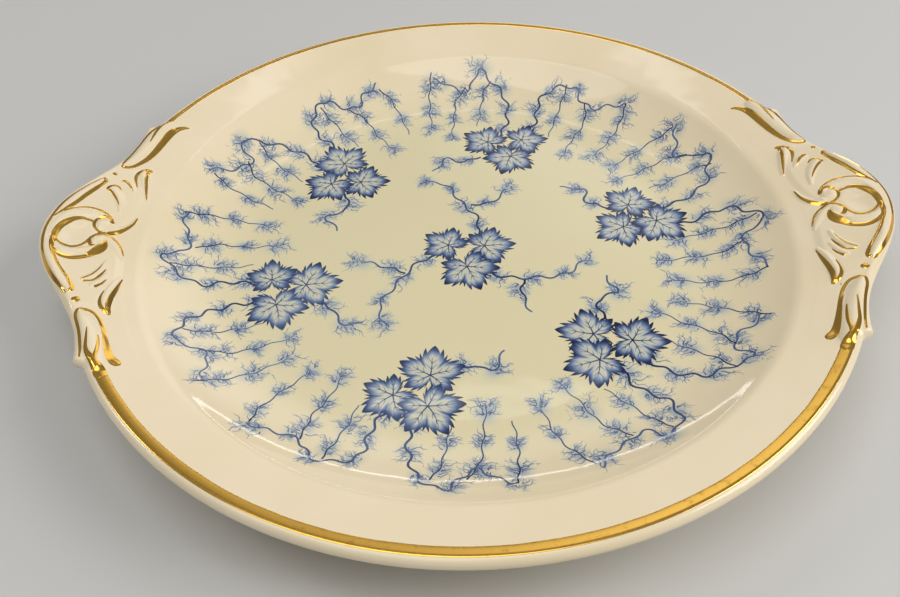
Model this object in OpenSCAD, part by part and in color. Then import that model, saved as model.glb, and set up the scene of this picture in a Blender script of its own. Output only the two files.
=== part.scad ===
// Round porcelain cake plate with two moulded scroll handles, standing on a foot ring.
// The origin is on the table under the centre, +X runs through the right handle and +Z is up.

/* [Plate] */
// Outer diameter of the rim, measured clear of the handles
rim_d = 237; // [225:1:250]
// Height of the top of the rim above the table
rim_h = 25; // [24:0.5:30]
// Thickness of the porcelain wall
wall = 4.2; // [3.6:0.1:4.8]
// Diameter of the flat floor of the well
well_d = 132; // [128:1:136]
// Bend radius of the side between floor and rim, at mid wall
side_bend_r = 61; // [58:0.5:62]
// Steepest slope of the side, in degrees
side_slope = 33; // [30:0.5:34]
// Slope of the rim and of the handles, in degrees
rim_slope = 15; // [12:0.5:18]
// Bend radius of the verge between side and rim, at mid wall
verge_bend_r = 9; // [7:0.5:11]

/* [Foot ring] */
// Diameter of the foot ring, at the middle of its sole
foot_d = 124; // [110:1:126]
// Width of the foot ring where it joins the plate
foot_root_w = 6.0; // [5:0.1:6.6]
// Width of the flat sole that stands on the table
foot_sole_w = 2.6; // [2:0.1:4]

/* [Handles] */
// Distance over the tips of both handles
handle_span = 260; // [254:1:266]
// Radius of the luted seat between plate and handle
seat_r = 103; // [102.5:0.1:103.5]
// Half of the angle of rim that a handle takes up
handle_half_angle = 31; // [30.5:0.5:34]
// Half of the angle of the bow that the fingers hold
bow_half_angle = 20.3; // [19.5:0.1:21]
// Angle of the pointed shoulder at each end of the bow
shoulder_angle = 26; // [25.5:0.1:26.5]
// Angle over which a shoulder drops back to the rim
shoulder_drop = 1.3; // [0.8:0.1:2]
// Reach of the shoulders beyond the rim
shoulder_reach = 2.0; // [1:0.1:2.6]

/* [Relief] */
// Height of the scrolls over the handle
scroll_h = 2.0; // [1.2:0.1:2.6]
// Height of the straight reeds along the bow
reed_h = 1.3; // [0.8:0.1:1.8]
// Height of the leaf at each shoulder
leaf_h = 1.9; // [1.2:0.1:2.4]
// Height of the plumes beside the scrolls
plume_h = 1.1; // [0.6:0.1:1.6]

/* [Gilding] */
// Width of the gold band along the lip
gilt_w = 2.6; // [1.5:0.1:3.5]
// Thickness of the gold band
gilt_t = 0.12; // [0.1:0.01:0.2]

/* [Hidden] */
$fn = 96;

porcelain = "antiquewhite";
bare_clay = "linen";
gold = "goldenrod";

// The wall follows a mid line: flat floor, side bend, verge bend and straight rim.
lip_r = wall / 2;
lip_at_r = rim_d / 2 - lip_r;
lip_at_z = rim_h - lip_r;
well_r = well_d / 2;
side_end_r = well_r + side_bend_r * sin(side_slope);
verge_end_r = side_end_r + verge_bend_r * (sin(side_slope) - sin(rim_slope));
side_rise = side_bend_r * (1 - cos(side_slope));
verge_rise = verge_bend_r * (cos(rim_slope) - cos(side_slope));
rim_rise = (lip_at_r - verge_end_r) * tan(rim_slope);
floor_z = lip_at_z - rim_rise - verge_rise - side_rise;
foot_h = floor_z - lip_r;
bow_reach = handle_span / 2 - rim_d / 2;

// Steps along each bend of the profile and around each rounded edge
side_steps = 22;
verge_steps = 8;
lip_steps = 12;
edge_steps = 8;

// One station of the mid line: radius, height and slope
function side_station(a) =
  [well_r + side_bend_r * sin(a), floor_z + side_bend_r * (1 - cos(a)), a];
function verge_station(a) =
  [
    side_end_r + verge_bend_r * (sin(side_slope) - sin(a)),
    floor_z + side_rise + verge_bend_r * (cos(a) - cos(side_slope)),
    a
  ];
mid_line = concat(
  [[0, floor_z, 0]],
  [for (i = [0:side_steps]) side_station(side_slope * i / side_steps)],
  [for (i = [1:verge_steps]) verge_station(side_slope + (rim_slope - side_slope) * i / verge_steps)],
  [[lip_at_r, lip_at_z, rim_slope]]
);

// The mid line moved square to itself by d, upwards when d is positive
function wall_face(d) = [for (s = mid_line) [s[0] - d * sin(s[2]), s[1] + d * cos(s[2])]];
function reversed(list) = [for (i = [len(list) - 1:-1:0]) list[i]];
function arc(c, r, a0, a1, n) =
  [for (i = [0:n]) c + r * [cos(a0 + (a1 - a0) * i / n), sin(a0 + (a1 - a0) * i / n)]];

// Rim and handles lie on one cone: its mid height and its upper face at radius r
function rim_mid_z(r) = lip_at_z + (r - lip_at_r) * tan(rim_slope);
function rim_top_z(r) = rim_mid_z(r) + lip_r / cos(rim_slope);
function rim_under_z(r) = rim_mid_z(r) - lip_r / cos(rim_slope);

// Outer edge of a handle at angle a: a raised-cosine bow between two pointed shoulders
function bow(a) = abs(a) < bow_half_angle ? bow_reach * pow(cos(90 * a / bow_half_angle), 2) : 0;
function shoulder(a) =
  let (b = abs(a), rise = (b - bow_half_angle) / (shoulder_angle - bow_half_angle))
  b <= bow_half_angle ? 0
  : b <= shoulder_angle ? shoulder_reach * rise * rise
  : max(0, shoulder_reach * (1 - (b - shoulder_angle) / shoulder_drop));
function handle_edge_r(a) = rim_d / 2 + bow(a) + shoulder(a);

// Angles of the handle's sections, closer where its edge turns
bow_steps = 18;
shoulder_steps = 5;
half_angles = concat(
  [for (i = [0:bow_steps]) bow_half_angle * i / bow_steps],
  [for (i = [1:shoulder_steps])
    bow_half_angle + (shoulder_angle - bow_half_angle) * i / shoulder_steps],
  [shoulder_angle + shoulder_drop / 2, shoulder_angle + shoulder_drop, handle_half_angle]
);
section_angles = concat(
  [for (i = [len(half_angles) - 1:-1:1]) -half_angles[i]],
  half_angles
);

// Upright section of a handle at angle a: seat, underside, rounded edge and upper face
function handle_section(a) =
  let (edge_r = handle_edge_r(a) - lip_r)
  concat(
    [[seat_r, rim_under_z(seat_r)]],
    arc([edge_r, rim_mid_z(edge_r)], lip_r, rim_slope - 90, rim_slope + 90, edge_steps),
    [[seat_r, rim_top_z(seat_r)]]
  );

// Skin of rings that are each a closed loop of n points, with a triangle fan on both ends
function ring_sides(rings, n) =
  [for (i = [0:rings - 2], j = [0:n - 1])
    let (a = i * n + j, b = i * n + (j + 1) % n)
    each [[a, b, b + n], [a, b + n, a + n]]];
function ring_ends(rings, n) =
  concat(
    [for (j = [0:n - 1]) [rings * n, (j + 1) % n, j]],
    [for (j = [0:n - 1])
      let (last = (rings - 1) * n)
      [rings * n + 1, last + j, last + (j + 1) % n]]
  );
function middle(ring) = [for (k = [0:2]) sum([for (p = ring) p[k]]) / len(ring)];
function sum(list, i = 0) = i < len(list) ? list[i] + sum(list, i + 1) : 0;

module ring_solid(rings, start, end) {
  n = len(rings[0]);
  polyhedron(
    points = concat([for (ring = rings) each ring], [start, end]),
    faces = concat(ring_sides(len(rings), n), ring_ends(len(rings), n)),
    convexity = 6
  );
}

// Smooth curve through hand-placed stations
function blend(a, b, c, d, t) =
  0.5 * (2 * b + (c - a) * t + (2 * a - 5 * b + 4 * c - d) * t * t + (3 * b - a - 3 * c + d) * t * t * t);
function smooth(p, steps) =
  let (m = len(p) - 1)
  concat(
    [for (i = [0:m - 1], k = [0:steps - 1])
      blend(p[max(i - 1, 0)], p[i], p[i + 1], p[min(i + 2, m)], k / steps)],
    [p[m]]
  );

// A raised half-round band on the handle. Each station is [x, y, half width] in plan.
// Its underside lies on the handle's face, and a crease sinks the middle of its crown.
crown_steps = 6;
crease_power = 8;
function direction(p, i) =
  let (d = p[min(i + 1, len(p) - 1)] - p[max(i - 1, 0)])
  [d[0], d[1]] / norm([d[0], d[1]]);
function on_face(x, y, up) = [x, y, rim_top_z(norm([x, y])) + up];
function band_ring(p, i, widest, h, crease) =
  let (d = direction(p, i), w = p[i][2], up = h * sqrt(w / widest))
  concat(
    [for (j = [0:crown_steps])
      let (
        a = 180 * j / crown_steps,
        side = w * cos(a),
        crown = sin(a) * (1 - crease * pow(sin(a), crease_power))
      )
      on_face(p[i][0] + d[1] * side, p[i][1] - d[0] * side, up * crown)],
    [on_face(p[i][0], p[i][1], 0)]
  );
function band_tip(p, i, sign) =
  let (d = direction(p, i), reach = sign * p[i][2])
  on_face(p[i][0] + reach * d[0], p[i][1] + reach * d[1], 0);

module band(stations, h, steps = 4, crease = 0) {
  p = smooth(stations, steps);
  widest = max([for (s = p) s[2]]);
  last = len(p) - 1;
  ring_solid(
    [for (i = [0:last]) band_ring(p, i, widest, h, crease)],
    band_tip(p, 0, -1),
    band_tip(p, last, 1)
  );
}

// Stations of the ornament on the right handle. The front half repeats the back half's reed,
// leaf and plumes, and the two scrolls differ.
back_scroll_line = [
  [125.6, -1.2, 0.5], [125.0, 2.0, 0.8], [123.0, 6.0, 1.5], [120.2, 8.7, 2.1],
  [116.8, 9.7, 2.0], [113.7, 9.4, 1.5], [111.5, 7.6, 1.2], [111.2, 5.3, 1.1],
  [112.8, 3.9, 1.0], [114.3, 5.0, 0.9], [113.6, 6.3, 0.8]
];
back_tail_line = [[104.4, 10.2, 0.5], [105.8, 6.2, 0.7], [108.2, 3.8, 0.8], [110.2, 2.8, 0.5]];
front_scroll_line = [
  [124.6, -4.8, 0.5], [123.6, -6.5, 0.9], [121.8, -8.3, 1.4], [119.0, -9.5, 1.8],
  [116.0, -9.2, 1.8], [113.5, -7.9, 1.6], [111.6, -6.0, 1.4], [111.1, -3.6, 1.2],
  [112.4, -2.2, 1.0], [113.8, -3.2, 0.9], [113.3, -4.5, 0.8]
];
front_tail_line = [
  [105.0, -6.5, 0.5], [106.6, -3.0, 0.7], [109.2, -0.4, 0.8], [112.0, 0.8, 0.8], [114.6, 0.1, 0.8],
  [116.2, -2.3, 0.8], [117.4, -4.8, 0.7], [119.4, -6.2, 0.5]
];
leaf_line = [
  [111.2, 32.8, 0.8], [109.4, 35.5, 2.0], [107.2, 39.4, 2.6], [105.1, 43.6, 3.0], [103.0, 47.8, 3.1],
  [101.2, 51.6, 2.9], [99.9, 54.3, 2.2]
];
plume_lines = [
  [[113.6, 21.6, 1.2], [112.4, 18.7, 1.6], [110.8, 15.3, 1.2], [109.5, 11.6, 0.5]],
  [[111.0, 25.7, 0.8], [109.3, 24.3, 0.9], [107.7, 22.4, 0.4]],
  [[105.4, 32.2, 1.2], [104.9, 28.5, 1.4], [104.8, 24.0, 1.0], [104.7, 19.8, 0.5]],
  [[108.6, 30.2, 0.5], [108.0, 28.2, 0.7], [107.3, 25.6, 0.4]],
  [[113.6, 28.9, 0.5], [114.0, 28.3, 0.9], [114.4, 27.7, 0.5]]
];
plume_steps = 3;

// A reed runs along the bow, just inside the rounded edge. Each pair is [angle, half width].
reed_inset = 3.4;
reed_widths = [[11.7, 0.7], [9.5, 1.2], [7.0, 1.4], [4.6, 1.2], [2.4, 0.7], [1.4, 0.4]];
reed_line = [for (s = reed_widths)
  let (r = handle_edge_r(s[0]) - reed_inset)
  [r * cos(s[0]), r * sin(s[0]), s[1]]];
leaf_crease = 0.35;

// Sides: a left piece is the right one seen in a mirror across the plate
module on_left() {
  mirror([1, 0, 0]) children();
}
module on_front() {
  mirror([0, 1, 0]) children();
}

module plate_body() {
  color(porcelain)
    difference() {
      rotate_extrude()
        polygon(concat(
          wall_face(lip_r),
          arc([lip_at_r, lip_at_z], lip_r, rim_slope + 90, rim_slope - 90, lip_steps),
          reversed(wall_face(-lip_r))
        ));
      handle_seat();
      on_left() handle_seat();
    }
}

// Sector of the rim that a handle takes the place of
module handle_seat() {
  rotate([0, 0, -handle_half_angle])
    rotate_extrude(angle = 2 * handle_half_angle)
      translate([seat_r, 0])
        square([rim_d / 2, 2 * rim_h]);
}

module foot_ring() {
  sole_edge_r = 0.7;
  sole_steps = 4;
  mid_r = foot_d / 2;
  sole_r = foot_sole_w / 2;
  root_r = foot_root_w / 2;
  color(bare_clay)
    rotate_extrude()
      polygon(concat(
        [[mid_r - root_r, foot_h]],
        arc([mid_r - sole_r, sole_edge_r], sole_edge_r, 180, 270, sole_steps),
        arc([mid_r + sole_r, sole_edge_r], sole_edge_r, 270, 360, sole_steps),
        [[mid_r + root_r, foot_h]]
      ));
}

module handle() {
  rings = [for (a = section_angles)
    [for (p = handle_section(a)) [p[0] * cos(a), p[0] * sin(a), p[1]]]];
  color(porcelain)
    ring_solid(rings, middle(rings[0]), middle(rings[len(rings) - 1]));
}
module right_handle() {
  handle();
}
module left_handle() {
  on_left() handle();
}

module back_scroll() {
  color(porcelain) {
    band(back_scroll_line, scroll_h);
    band(back_tail_line, scroll_h / 2);
  }
}
module front_scroll() {
  color(porcelain) {
    band(front_scroll_line, scroll_h);
    band(front_tail_line, scroll_h / 2);
  }
}
module reed() {
  color(porcelain)
    band(reed_line, reed_h);
}
module leaf() {
  color(porcelain)
    band(leaf_line, leaf_h, crease = leaf_crease);
}
module plumes() {
  color(porcelain)
    for (line = plume_lines) {
      band(line, plume_h, plume_steps);
      on_front() band(line, plume_h, plume_steps);
    }
}

module right_back_scroll() {
  back_scroll();
}
module right_front_scroll() {
  front_scroll();
}
module right_back_reed() {
  reed();
}
module right_front_reed() {
  on_front() reed();
}
module right_back_leaf() {
  leaf();
}
module right_front_leaf() {
  on_front() leaf();
}
module right_plumes() {
  plumes();
}
module left_back_scroll() {
  on_left() back_scroll();
}
module left_front_scroll() {
  on_left() front_scroll();
}
module left_back_reed() {
  on_left() reed();
}
module left_front_reed() {
  on_left() on_front() reed();
}
module left_back_leaf() {
  on_left() leaf();
}
module left_front_leaf() {
  on_left() on_front() leaf();
}
module left_plumes() {
  on_left() plumes();
}

// A thin gold band over the top of the lip and the rim beside it, from handle to handle
gilt_outer_angle = 78;
gilt_steps = 5;
gilt_on_lip = lip_r * (rim_slope + 90 - gilt_outer_angle) * PI / 180;
gilt_on_rim = gilt_w - gilt_on_lip;
function gilt_face(d) = concat(
  arc([lip_at_r, lip_at_z], lip_r + d, gilt_outer_angle, rim_slope + 90, gilt_steps),
  [[
    lip_at_r - gilt_on_rim * cos(rim_slope) - (lip_r + d) * sin(rim_slope),
    lip_at_z - gilt_on_rim * sin(rim_slope) + (lip_r + d) * cos(rim_slope)
  ]]
);
module gilt_band() {
  color(gold)
    rotate([0, 0, handle_half_angle])
      rotate_extrude(angle = 180 - 2 * handle_half_angle)
        polygon(concat(gilt_face(gilt_t), reversed(gilt_face(0))));
}
module gilt_band_back() {
  gilt_band();
}
module gilt_band_front() {
  on_front() gilt_band();
}

plate_body();
foot_ring();
left_handle();
right_handle();
left_back_scroll();
left_front_scroll();
left_back_reed();
left_front_reed();
left_back_leaf();
left_front_leaf();
left_plumes();
right_back_scroll();
right_front_scroll();
right_back_reed();
right_front_reed();
right_back_leaf();
right_front_leaf();
right_plumes();
gilt_band_back();
gilt_band_front();
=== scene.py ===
"""Looks of the handled cake plate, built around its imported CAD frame.

Every piece is worked out in millimetres in the CAD frame: the right handle lies along +X, the back of
the plate along +Y, and the table is at zero height. Shapes come from the plate's turned form, so the
body, the handles, the gilding and the print all lie on one surface.
"""

import logging
import math
import random
from collections.abc import Iterator
from contextlib import contextmanager
from dataclasses import dataclass, field
from enum import Enum
from functools import cached_property

import bpy
import numpy as np
from mathutils import Matrix, Vector


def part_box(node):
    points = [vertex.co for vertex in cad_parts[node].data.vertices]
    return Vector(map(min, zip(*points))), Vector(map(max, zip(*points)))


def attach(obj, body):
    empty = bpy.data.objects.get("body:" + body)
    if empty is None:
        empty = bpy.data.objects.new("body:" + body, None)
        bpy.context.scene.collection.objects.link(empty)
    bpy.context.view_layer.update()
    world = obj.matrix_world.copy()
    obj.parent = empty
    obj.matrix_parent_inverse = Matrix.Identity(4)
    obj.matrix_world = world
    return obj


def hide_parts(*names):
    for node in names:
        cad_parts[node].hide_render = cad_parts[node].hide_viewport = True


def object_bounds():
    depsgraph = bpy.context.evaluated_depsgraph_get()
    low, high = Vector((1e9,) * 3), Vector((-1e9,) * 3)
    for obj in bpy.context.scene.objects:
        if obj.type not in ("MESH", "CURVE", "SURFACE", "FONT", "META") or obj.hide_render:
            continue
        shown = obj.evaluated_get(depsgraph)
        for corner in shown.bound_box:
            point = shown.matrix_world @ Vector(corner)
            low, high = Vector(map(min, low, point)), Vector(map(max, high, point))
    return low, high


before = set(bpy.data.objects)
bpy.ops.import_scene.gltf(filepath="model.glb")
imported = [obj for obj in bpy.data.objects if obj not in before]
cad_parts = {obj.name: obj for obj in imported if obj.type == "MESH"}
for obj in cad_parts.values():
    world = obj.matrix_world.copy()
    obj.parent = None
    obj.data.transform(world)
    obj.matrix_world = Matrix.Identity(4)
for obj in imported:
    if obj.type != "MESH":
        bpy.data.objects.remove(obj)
CAD_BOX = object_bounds()
MM = 0.001
LOG = logging.getLogger("cake_plate")

# Narrowest stroke, spacing along the mould's lines, and the angle at which a sheet has an edge
THINNEST = 0.05
MOULD_STEP = 0.5
CREASE = math.radians(50.0)

# Gap in metres that a merge closes, and the least number to divide by
MERGE_GAP = 1e-7
TINY = 1e-9

Array = np.ndarray
Piece = bpy.types.Object
Socket = bpy.types.NodeSocket
Pair = tuple[float, float]
Triple = tuple[float, float, float]
Line = tuple[Triple, ...]
Knots = tuple[Pair, ...]
Colour = tuple[float, float, float, float]
Feeds = dict[str | int, object]
Sockets = bpy.types.bpy_prop_collection
Material = bpy.types.Material


class Skin(Enum):
    """The two faces of the plate's wall, as signs of the offset from its middle."""

    TOP = 1
    UNDER = -1


class Side(Enum):
    """The two handles, as signs along X."""

    RIGHT = 1
    LEFT = -1


class Arc(Enum):
    """The two stretches of rim between the handles, as turns back from the first one."""

    BACK = 0.0
    FRONT = math.pi


def ease(low: float | Array, high: float | Array, value: Array) -> Array:
    """Eases from 0 at low to 1 at high.

    Args:
        low: Value at which the result leaves 0.
        high: Value at which the result reaches 1.
        value: Values to ease.

    Returns:
        Numbers from 0 to 1.
    """
    t = np.clip((value - low) / (high - low), 0.0, 1.0)
    return t * t * (3.0 - 2.0 * t)


def toward(angle: Array) -> Array:
    """Gives a unit step in the plan for each angle."""
    return np.column_stack([np.cos(angle), np.sin(angle)])


def unit_run(path: Array) -> Array:
    """Gives the direction of a path at each of its rows of x and y."""
    run = np.gradient(path, axis=0)
    return run / np.maximum(np.linalg.norm(run, axis=1, keepdims=True), TINY)


def to_left(run: Array) -> Array:
    """Turns directions a quarter to the left."""
    return np.column_stack([-run[:, 1], run[:, 0]])


def smooth_line(points: Line, spacing: float) -> Array:
    """Draws a smooth curve through points.

    Args:
        points: Rows of x, y and width.
        spacing: Distance between the rows of the curve.

    Returns:
        Rows of x, y and width along the curve.
    """
    knots = np.asarray(points, dtype=float)
    ends = np.vstack([2 * knots[0] - knots[1], knots, 2 * knots[-1] - knots[-2]])
    rows = []
    for a, b, c, d in zip(ends, ends[1:], ends[2:], ends[3:]):
        count = max(1, round(np.linalg.norm((c - b)[:2]) / spacing))
        t = np.arange(count)[:, None] / count
        bend = (2 * a - 5 * b + 4 * c - d) * t**2 + (3 * b - a - 3 * c + d) * t**3
        rows.append(0.5 * (2 * b + (c - a) * t + bend))
    curve = np.vstack([*rows, knots[-1:]])
    curve[:, 2] = np.maximum(curve[:, 2], THINNEST)
    return curve


def round_ends(curve: Array, least: float = 0.02) -> Array:
    """Rounds both ends of a stroke.

    Args:
        curve: Rows of x, y and width.
        least: Square of the share of the width that stays at the very end.

    Returns:
        The same rows, with the width drawn in over half a width at each end.
    """
    steps = np.linalg.norm(np.diff(curve[:, :2], axis=0), axis=1)
    run = np.concatenate([[0.0], np.cumsum(steps)])
    share = np.clip(2 * np.minimum(run, run[-1] - run) / curve[:, 2], 0.0, 1.0)
    drawn_in = np.sqrt(np.maximum(1 - (1 - share) ** 2, least))
    return curve * np.column_stack([np.ones_like(run), np.ones_like(run), drawn_in])


def beside(line: Array, margin: float, x: Array, y: Array) -> Array:
    """Marks the points that lie in a line's box, widened by a margin.

    Args:
        line: Rows that begin with x and y.
        margin: How far the box reaches past the line.
        x: First coordinates of the points.
        y: Second coordinates of the points.

    Returns:
        True for each point in the box.
    """
    low = line.min(axis=0) - margin
    high = line.max(axis=0) + margin
    return (x > low[0]) & (x < high[0]) & (y > low[1]) & (y < high[1])


def nearest(line: Array, x: Array, y: Array) -> tuple[Array, Array, Array]:
    """Finds where points lie beside a line.

    Args:
        line: Rows of x, y and half width.
        x: First coordinates of the points.
        y: Second coordinates of the points.

    Returns:
        Distance from the line, its half width there, and 1 to the left of it or -1 to the right.
    """
    start = line[:-1]
    step = np.diff(line, axis=0)
    dx = x[:, None] - start[:, 0]
    dy = y[:, None] - start[:, 1]
    length = np.maximum((step[:, :2] ** 2).sum(axis=1), TINY)
    t = np.clip((dx * step[:, 0] + dy * step[:, 1]) / length, 0.0, 1.0)
    gap = np.hypot(dx - t * step[:, 0], dy - t * step[:, 1])
    half = start[:, 2] + t * step[:, 2]
    best = (gap / half).argmin(axis=1)
    row = np.arange(len(x))
    turn = np.sign(step[best, 0] * dy[row, best] - step[best, 1] * dx[row, best])
    return gap[row, best], half[row, best], turn


@dataclass(frozen=True)
class PlateForm:
    """The plate's turned form: flat floor, bent side, verge, sloping rim and rounded lip.

    The first three sizes come from the frame; the others are the potter's. The waves are those that
    firing leaves: two that cross, one on the slant, and a saddle that grows towards the rim. The middle
    of the plate is calm.
    """

    rim_r: float
    rim_top: float
    floor_under: float
    wall: float = 4.2
    well_r: float = 66.0
    side_bend: float = 61.0
    side_slope: float = math.radians(33.0)
    rim_slope: float = math.radians(15.0)
    verge_bend: float = 9.0
    warp_height: float = 0.05
    wave_x: float = 17.0
    wave_y: float = 21.0
    wave_slant: float = 29.0
    slant_share: float = 0.6
    slant: float = 1.7
    saddle: float = 2.2
    phases: Triple = (0.6, -0.4, 0.9)
    calm: Pair = (0.1, 0.5)

    @classmethod
    def from_frame(cls) -> "PlateForm":
        """Reads the rim and the floor from the CAD body's box."""
        low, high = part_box("plate_body")
        return cls(rim_r=high.y / MM, rim_top=high.z / MM, floor_under=low.z / MM)

    @property
    def lip_r(self) -> float:
        """Radius of the half-round lip."""
        return self.wall / 2

    @property
    def lip_at(self) -> Pair:
        """Radius and height of the lip's centre."""
        return self.rim_r - self.lip_r, self.rim_top - self.lip_r

    @property
    def verge_at(self) -> Pair:
        """Finds the centre of the verge's bend.

        Returns:
            Its radius and height.
        """
        reach = (self.side_bend + self.verge_bend) * math.sin(self.side_slope)
        rise = self.side_bend - (self.side_bend + self.verge_bend) * math.cos(self.side_slope)
        return self.well_r + reach, self.floor_under + self.lip_r + rise

    def breaks(self, skin: Skin) -> Pair:
        """Finds where the verge's bend begins and ends on one face of the wall.

        Args:
            skin: Which face.

        Returns:
            The two radii.
        """
        r, _ = self.verge_at
        bend = self.verge_bend + skin.value * self.lip_r
        return r - bend * math.sin(self.side_slope), r - bend * math.sin(self.rim_slope)

    def rim_middle(self, r: Array) -> Array:
        """Gives the height of the rim's middle line, carried on to a distance from the axis."""
        return self.lip_at[1] + (r - self.lip_at[0]) * math.tan(self.rim_slope)

    def skin_z(self, r: Array, skin: Skin) -> Array:
        """Gives the height of one face of the wall.

        Args:
            r: Distances from the plate's axis.
            skin: Which face.

        Returns:
            Heights of the unwarped face.
        """
        offset = skin.value * self.lip_r
        floor = self.floor_under + self.lip_r
        side_r = self.side_bend - offset
        verge_r, verge_z = self.verge_at
        bend = self.verge_bend + offset
        begin, end = self.breaks(skin)
        side = floor + self.side_bend - np.sqrt(np.maximum(side_r**2 - (r - self.well_r) ** 2, 0))
        verge = verge_z + np.sqrt(np.maximum(bend**2 - (verge_r - r) ** 2, 0))
        rim = verge_z + bend * math.cos(self.rim_slope) + (r - end) * math.tan(self.rim_slope)
        return np.select([r <= self.well_r, r <= begin, r <= end], [floor + offset, side, verge], rim)

    def warp(self, x: Array, y: Array) -> Array:
        """Gives the slight waves that firing leaves in the plate.

        Args:
            x: First coordinates.
            y: Second coordinates.

        Returns:
            Heights above the unwarped plate.
        """
        out = np.hypot(x, y) / self.rim_r
        first, second, third = self.phases
        slow = np.sin(x / self.wave_x + first) * np.cos(y / self.wave_y + second)
        slow = slow + self.slant_share * np.sin((x + self.slant * y) / self.wave_slant)
        saddle = self.saddle * out**2 * np.cos(2 * np.arctan2(y, x) + third)
        return self.warp_height * (slow * ease(*self.calm, out) + saddle)

    def top(self, x: Array, y: Array) -> Array:
        """Gives the height of the fired upper face at points of the plan."""
        return self.skin_z(np.hypot(x, y), Skin.TOP) + self.warp(x, y)


@contextmanager
def editing(piece: Piece) -> Iterator[None]:
    """Opens a piece in edit mode with all of it selected, and closes it again.

    Args:
        piece: Mesh object to edit.
    """
    bpy.ops.object.select_all(action="DESELECT")
    piece.select_set(True)
    bpy.context.view_layer.objects.active = piece
    bpy.ops.object.mode_set(mode="EDIT")
    bpy.ops.mesh.select_all(action="SELECT")
    yield
    bpy.ops.object.mode_set(mode="OBJECT")


def section_ring(name: str, section: Array, turn: float = 0.0) -> Piece:
    """Lays a ring of edges round an upright section of the plate.

    Args:
        name: Name of the new piece.
        section: Rows of radius and height, in order round the section.
        turn: Angle about the plate's axis at which the section stands.

    Returns:
        The ring, with each point's place in the section kept as an attribute.
    """
    bpy.ops.object.select_all(action="DESELECT")
    bpy.ops.mesh.primitive_circle_add(vertices=len(section), radius=MM)
    ring = bpy.context.active_object
    ring.name = ring.data.name = name
    r, z = section.T
    set_points(ring, np.column_stack([r * math.cos(turn), r * math.sin(turn), z]))
    order = ring.data.attributes.new("section", "FLOAT", "POINT")
    order.data.foreach_set("value", np.arange(len(section), dtype=np.float32))
    return ring


def spin(piece: Piece, angle: float, steps: int) -> None:
    """Spins a section about the plate's axis and closes what it leaves open.

    Args:
        piece: Ring of edges to spin.
        angle: Angle to spin through; a full turn joins up.
        steps: Number of facets round that angle.
    """
    with editing(piece):
        bpy.ops.mesh.spin(steps=steps, angle=angle, center=(0, 0, 0), axis=(0, 0, -1))
        bpy.ops.mesh.select_all(action="SELECT")
        bpy.ops.mesh.remove_doubles(threshold=MERGE_GAP)
        bpy.ops.mesh.delete_loose()
        bpy.ops.mesh.select_all(action="SELECT")
        bpy.ops.mesh.fill_holes(sides=0)
        bpy.ops.mesh.normals_make_consistent(inside=False)
    bpy.ops.object.shade_smooth()


def get_points(piece: Piece) -> Array:
    """Gives a piece's points.

    Args:
        piece: Mesh object to read.

    Returns:
        Rows of millimetres.
    """
    flat = np.empty(len(piece.data.vertices) * 3)
    piece.data.vertices.foreach_get("co", flat)
    return flat.reshape(-1, 3) / MM


def set_points(piece: Piece, points: Array) -> None:
    """Moves a piece's points to rows of millimetres."""
    piece.data.vertices.foreach_set("co", (points * MM).ravel())
    piece.data.update()


def section_order(piece: Piece) -> Array:
    """Gives each point's place in the section it was spun from.

    Args:
        piece: Spun mesh object.

    Returns:
        Places, counted from 0.
    """
    order = np.empty(len(piece.data.vertices), dtype=np.float32)
    piece.data.attributes["section"].data.foreach_get("value", order)
    return order.round().astype(int)


def sheet_piece(name: str, points: Array, faces: Array) -> Piece:
    """Makes a piece of flat faces.

    Args:
        name: Name of the piece.
        points: Rows of millimetres.
        faces: Rows of four places in points.

    Returns:
        The piece, smoothly shaded.
    """
    mesh = bpy.data.meshes.new(name)
    mesh.from_pydata((points * MM).tolist(), [], faces.tolist())
    piece = bpy.data.objects.new(name, mesh)
    bpy.context.collection.objects.link(piece)
    bpy.ops.object.select_all(action="DESELECT")
    piece.select_set(True)
    bpy.context.view_layer.objects.active = piece
    bpy.ops.object.shade_smooth()
    return piece


def thicken(piece: Piece, depth: float) -> None:
    """Gives a sheet that faces up a thickness downwards.

    Args:
        piece: Sheet to thicken.
        depth: Thickness in millimetres.
    """
    solid = piece.modifiers.new("depth", "SOLIDIFY")
    solid.thickness = depth * MM
    solid.offset = -1.0
    bpy.ops.object.modifier_apply(modifier=solid.name)
    bpy.ops.object.shade_smooth_by_angle(angle=CREASE)


def rgb(red: int, green: int, blue: int) -> Colour:
    """Turns a colour as seen on a screen into the linear one a shader takes.

    Args:
        red: Red from 0 to 255.
        green: Green from 0 to 255.
        blue: Blue from 0 to 255.

    Returns:
        The linear colour, with an alpha of 1.
    """
    def linear(level: int) -> float:
        """Undoes the screen's curve for one channel."""
        share = level / 255
        return share / 12.92 if share <= 0.04045 else ((share + 0.055) / 1.055) ** 2.4

    return linear(red), linear(green), linear(blue), 1.0


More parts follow.
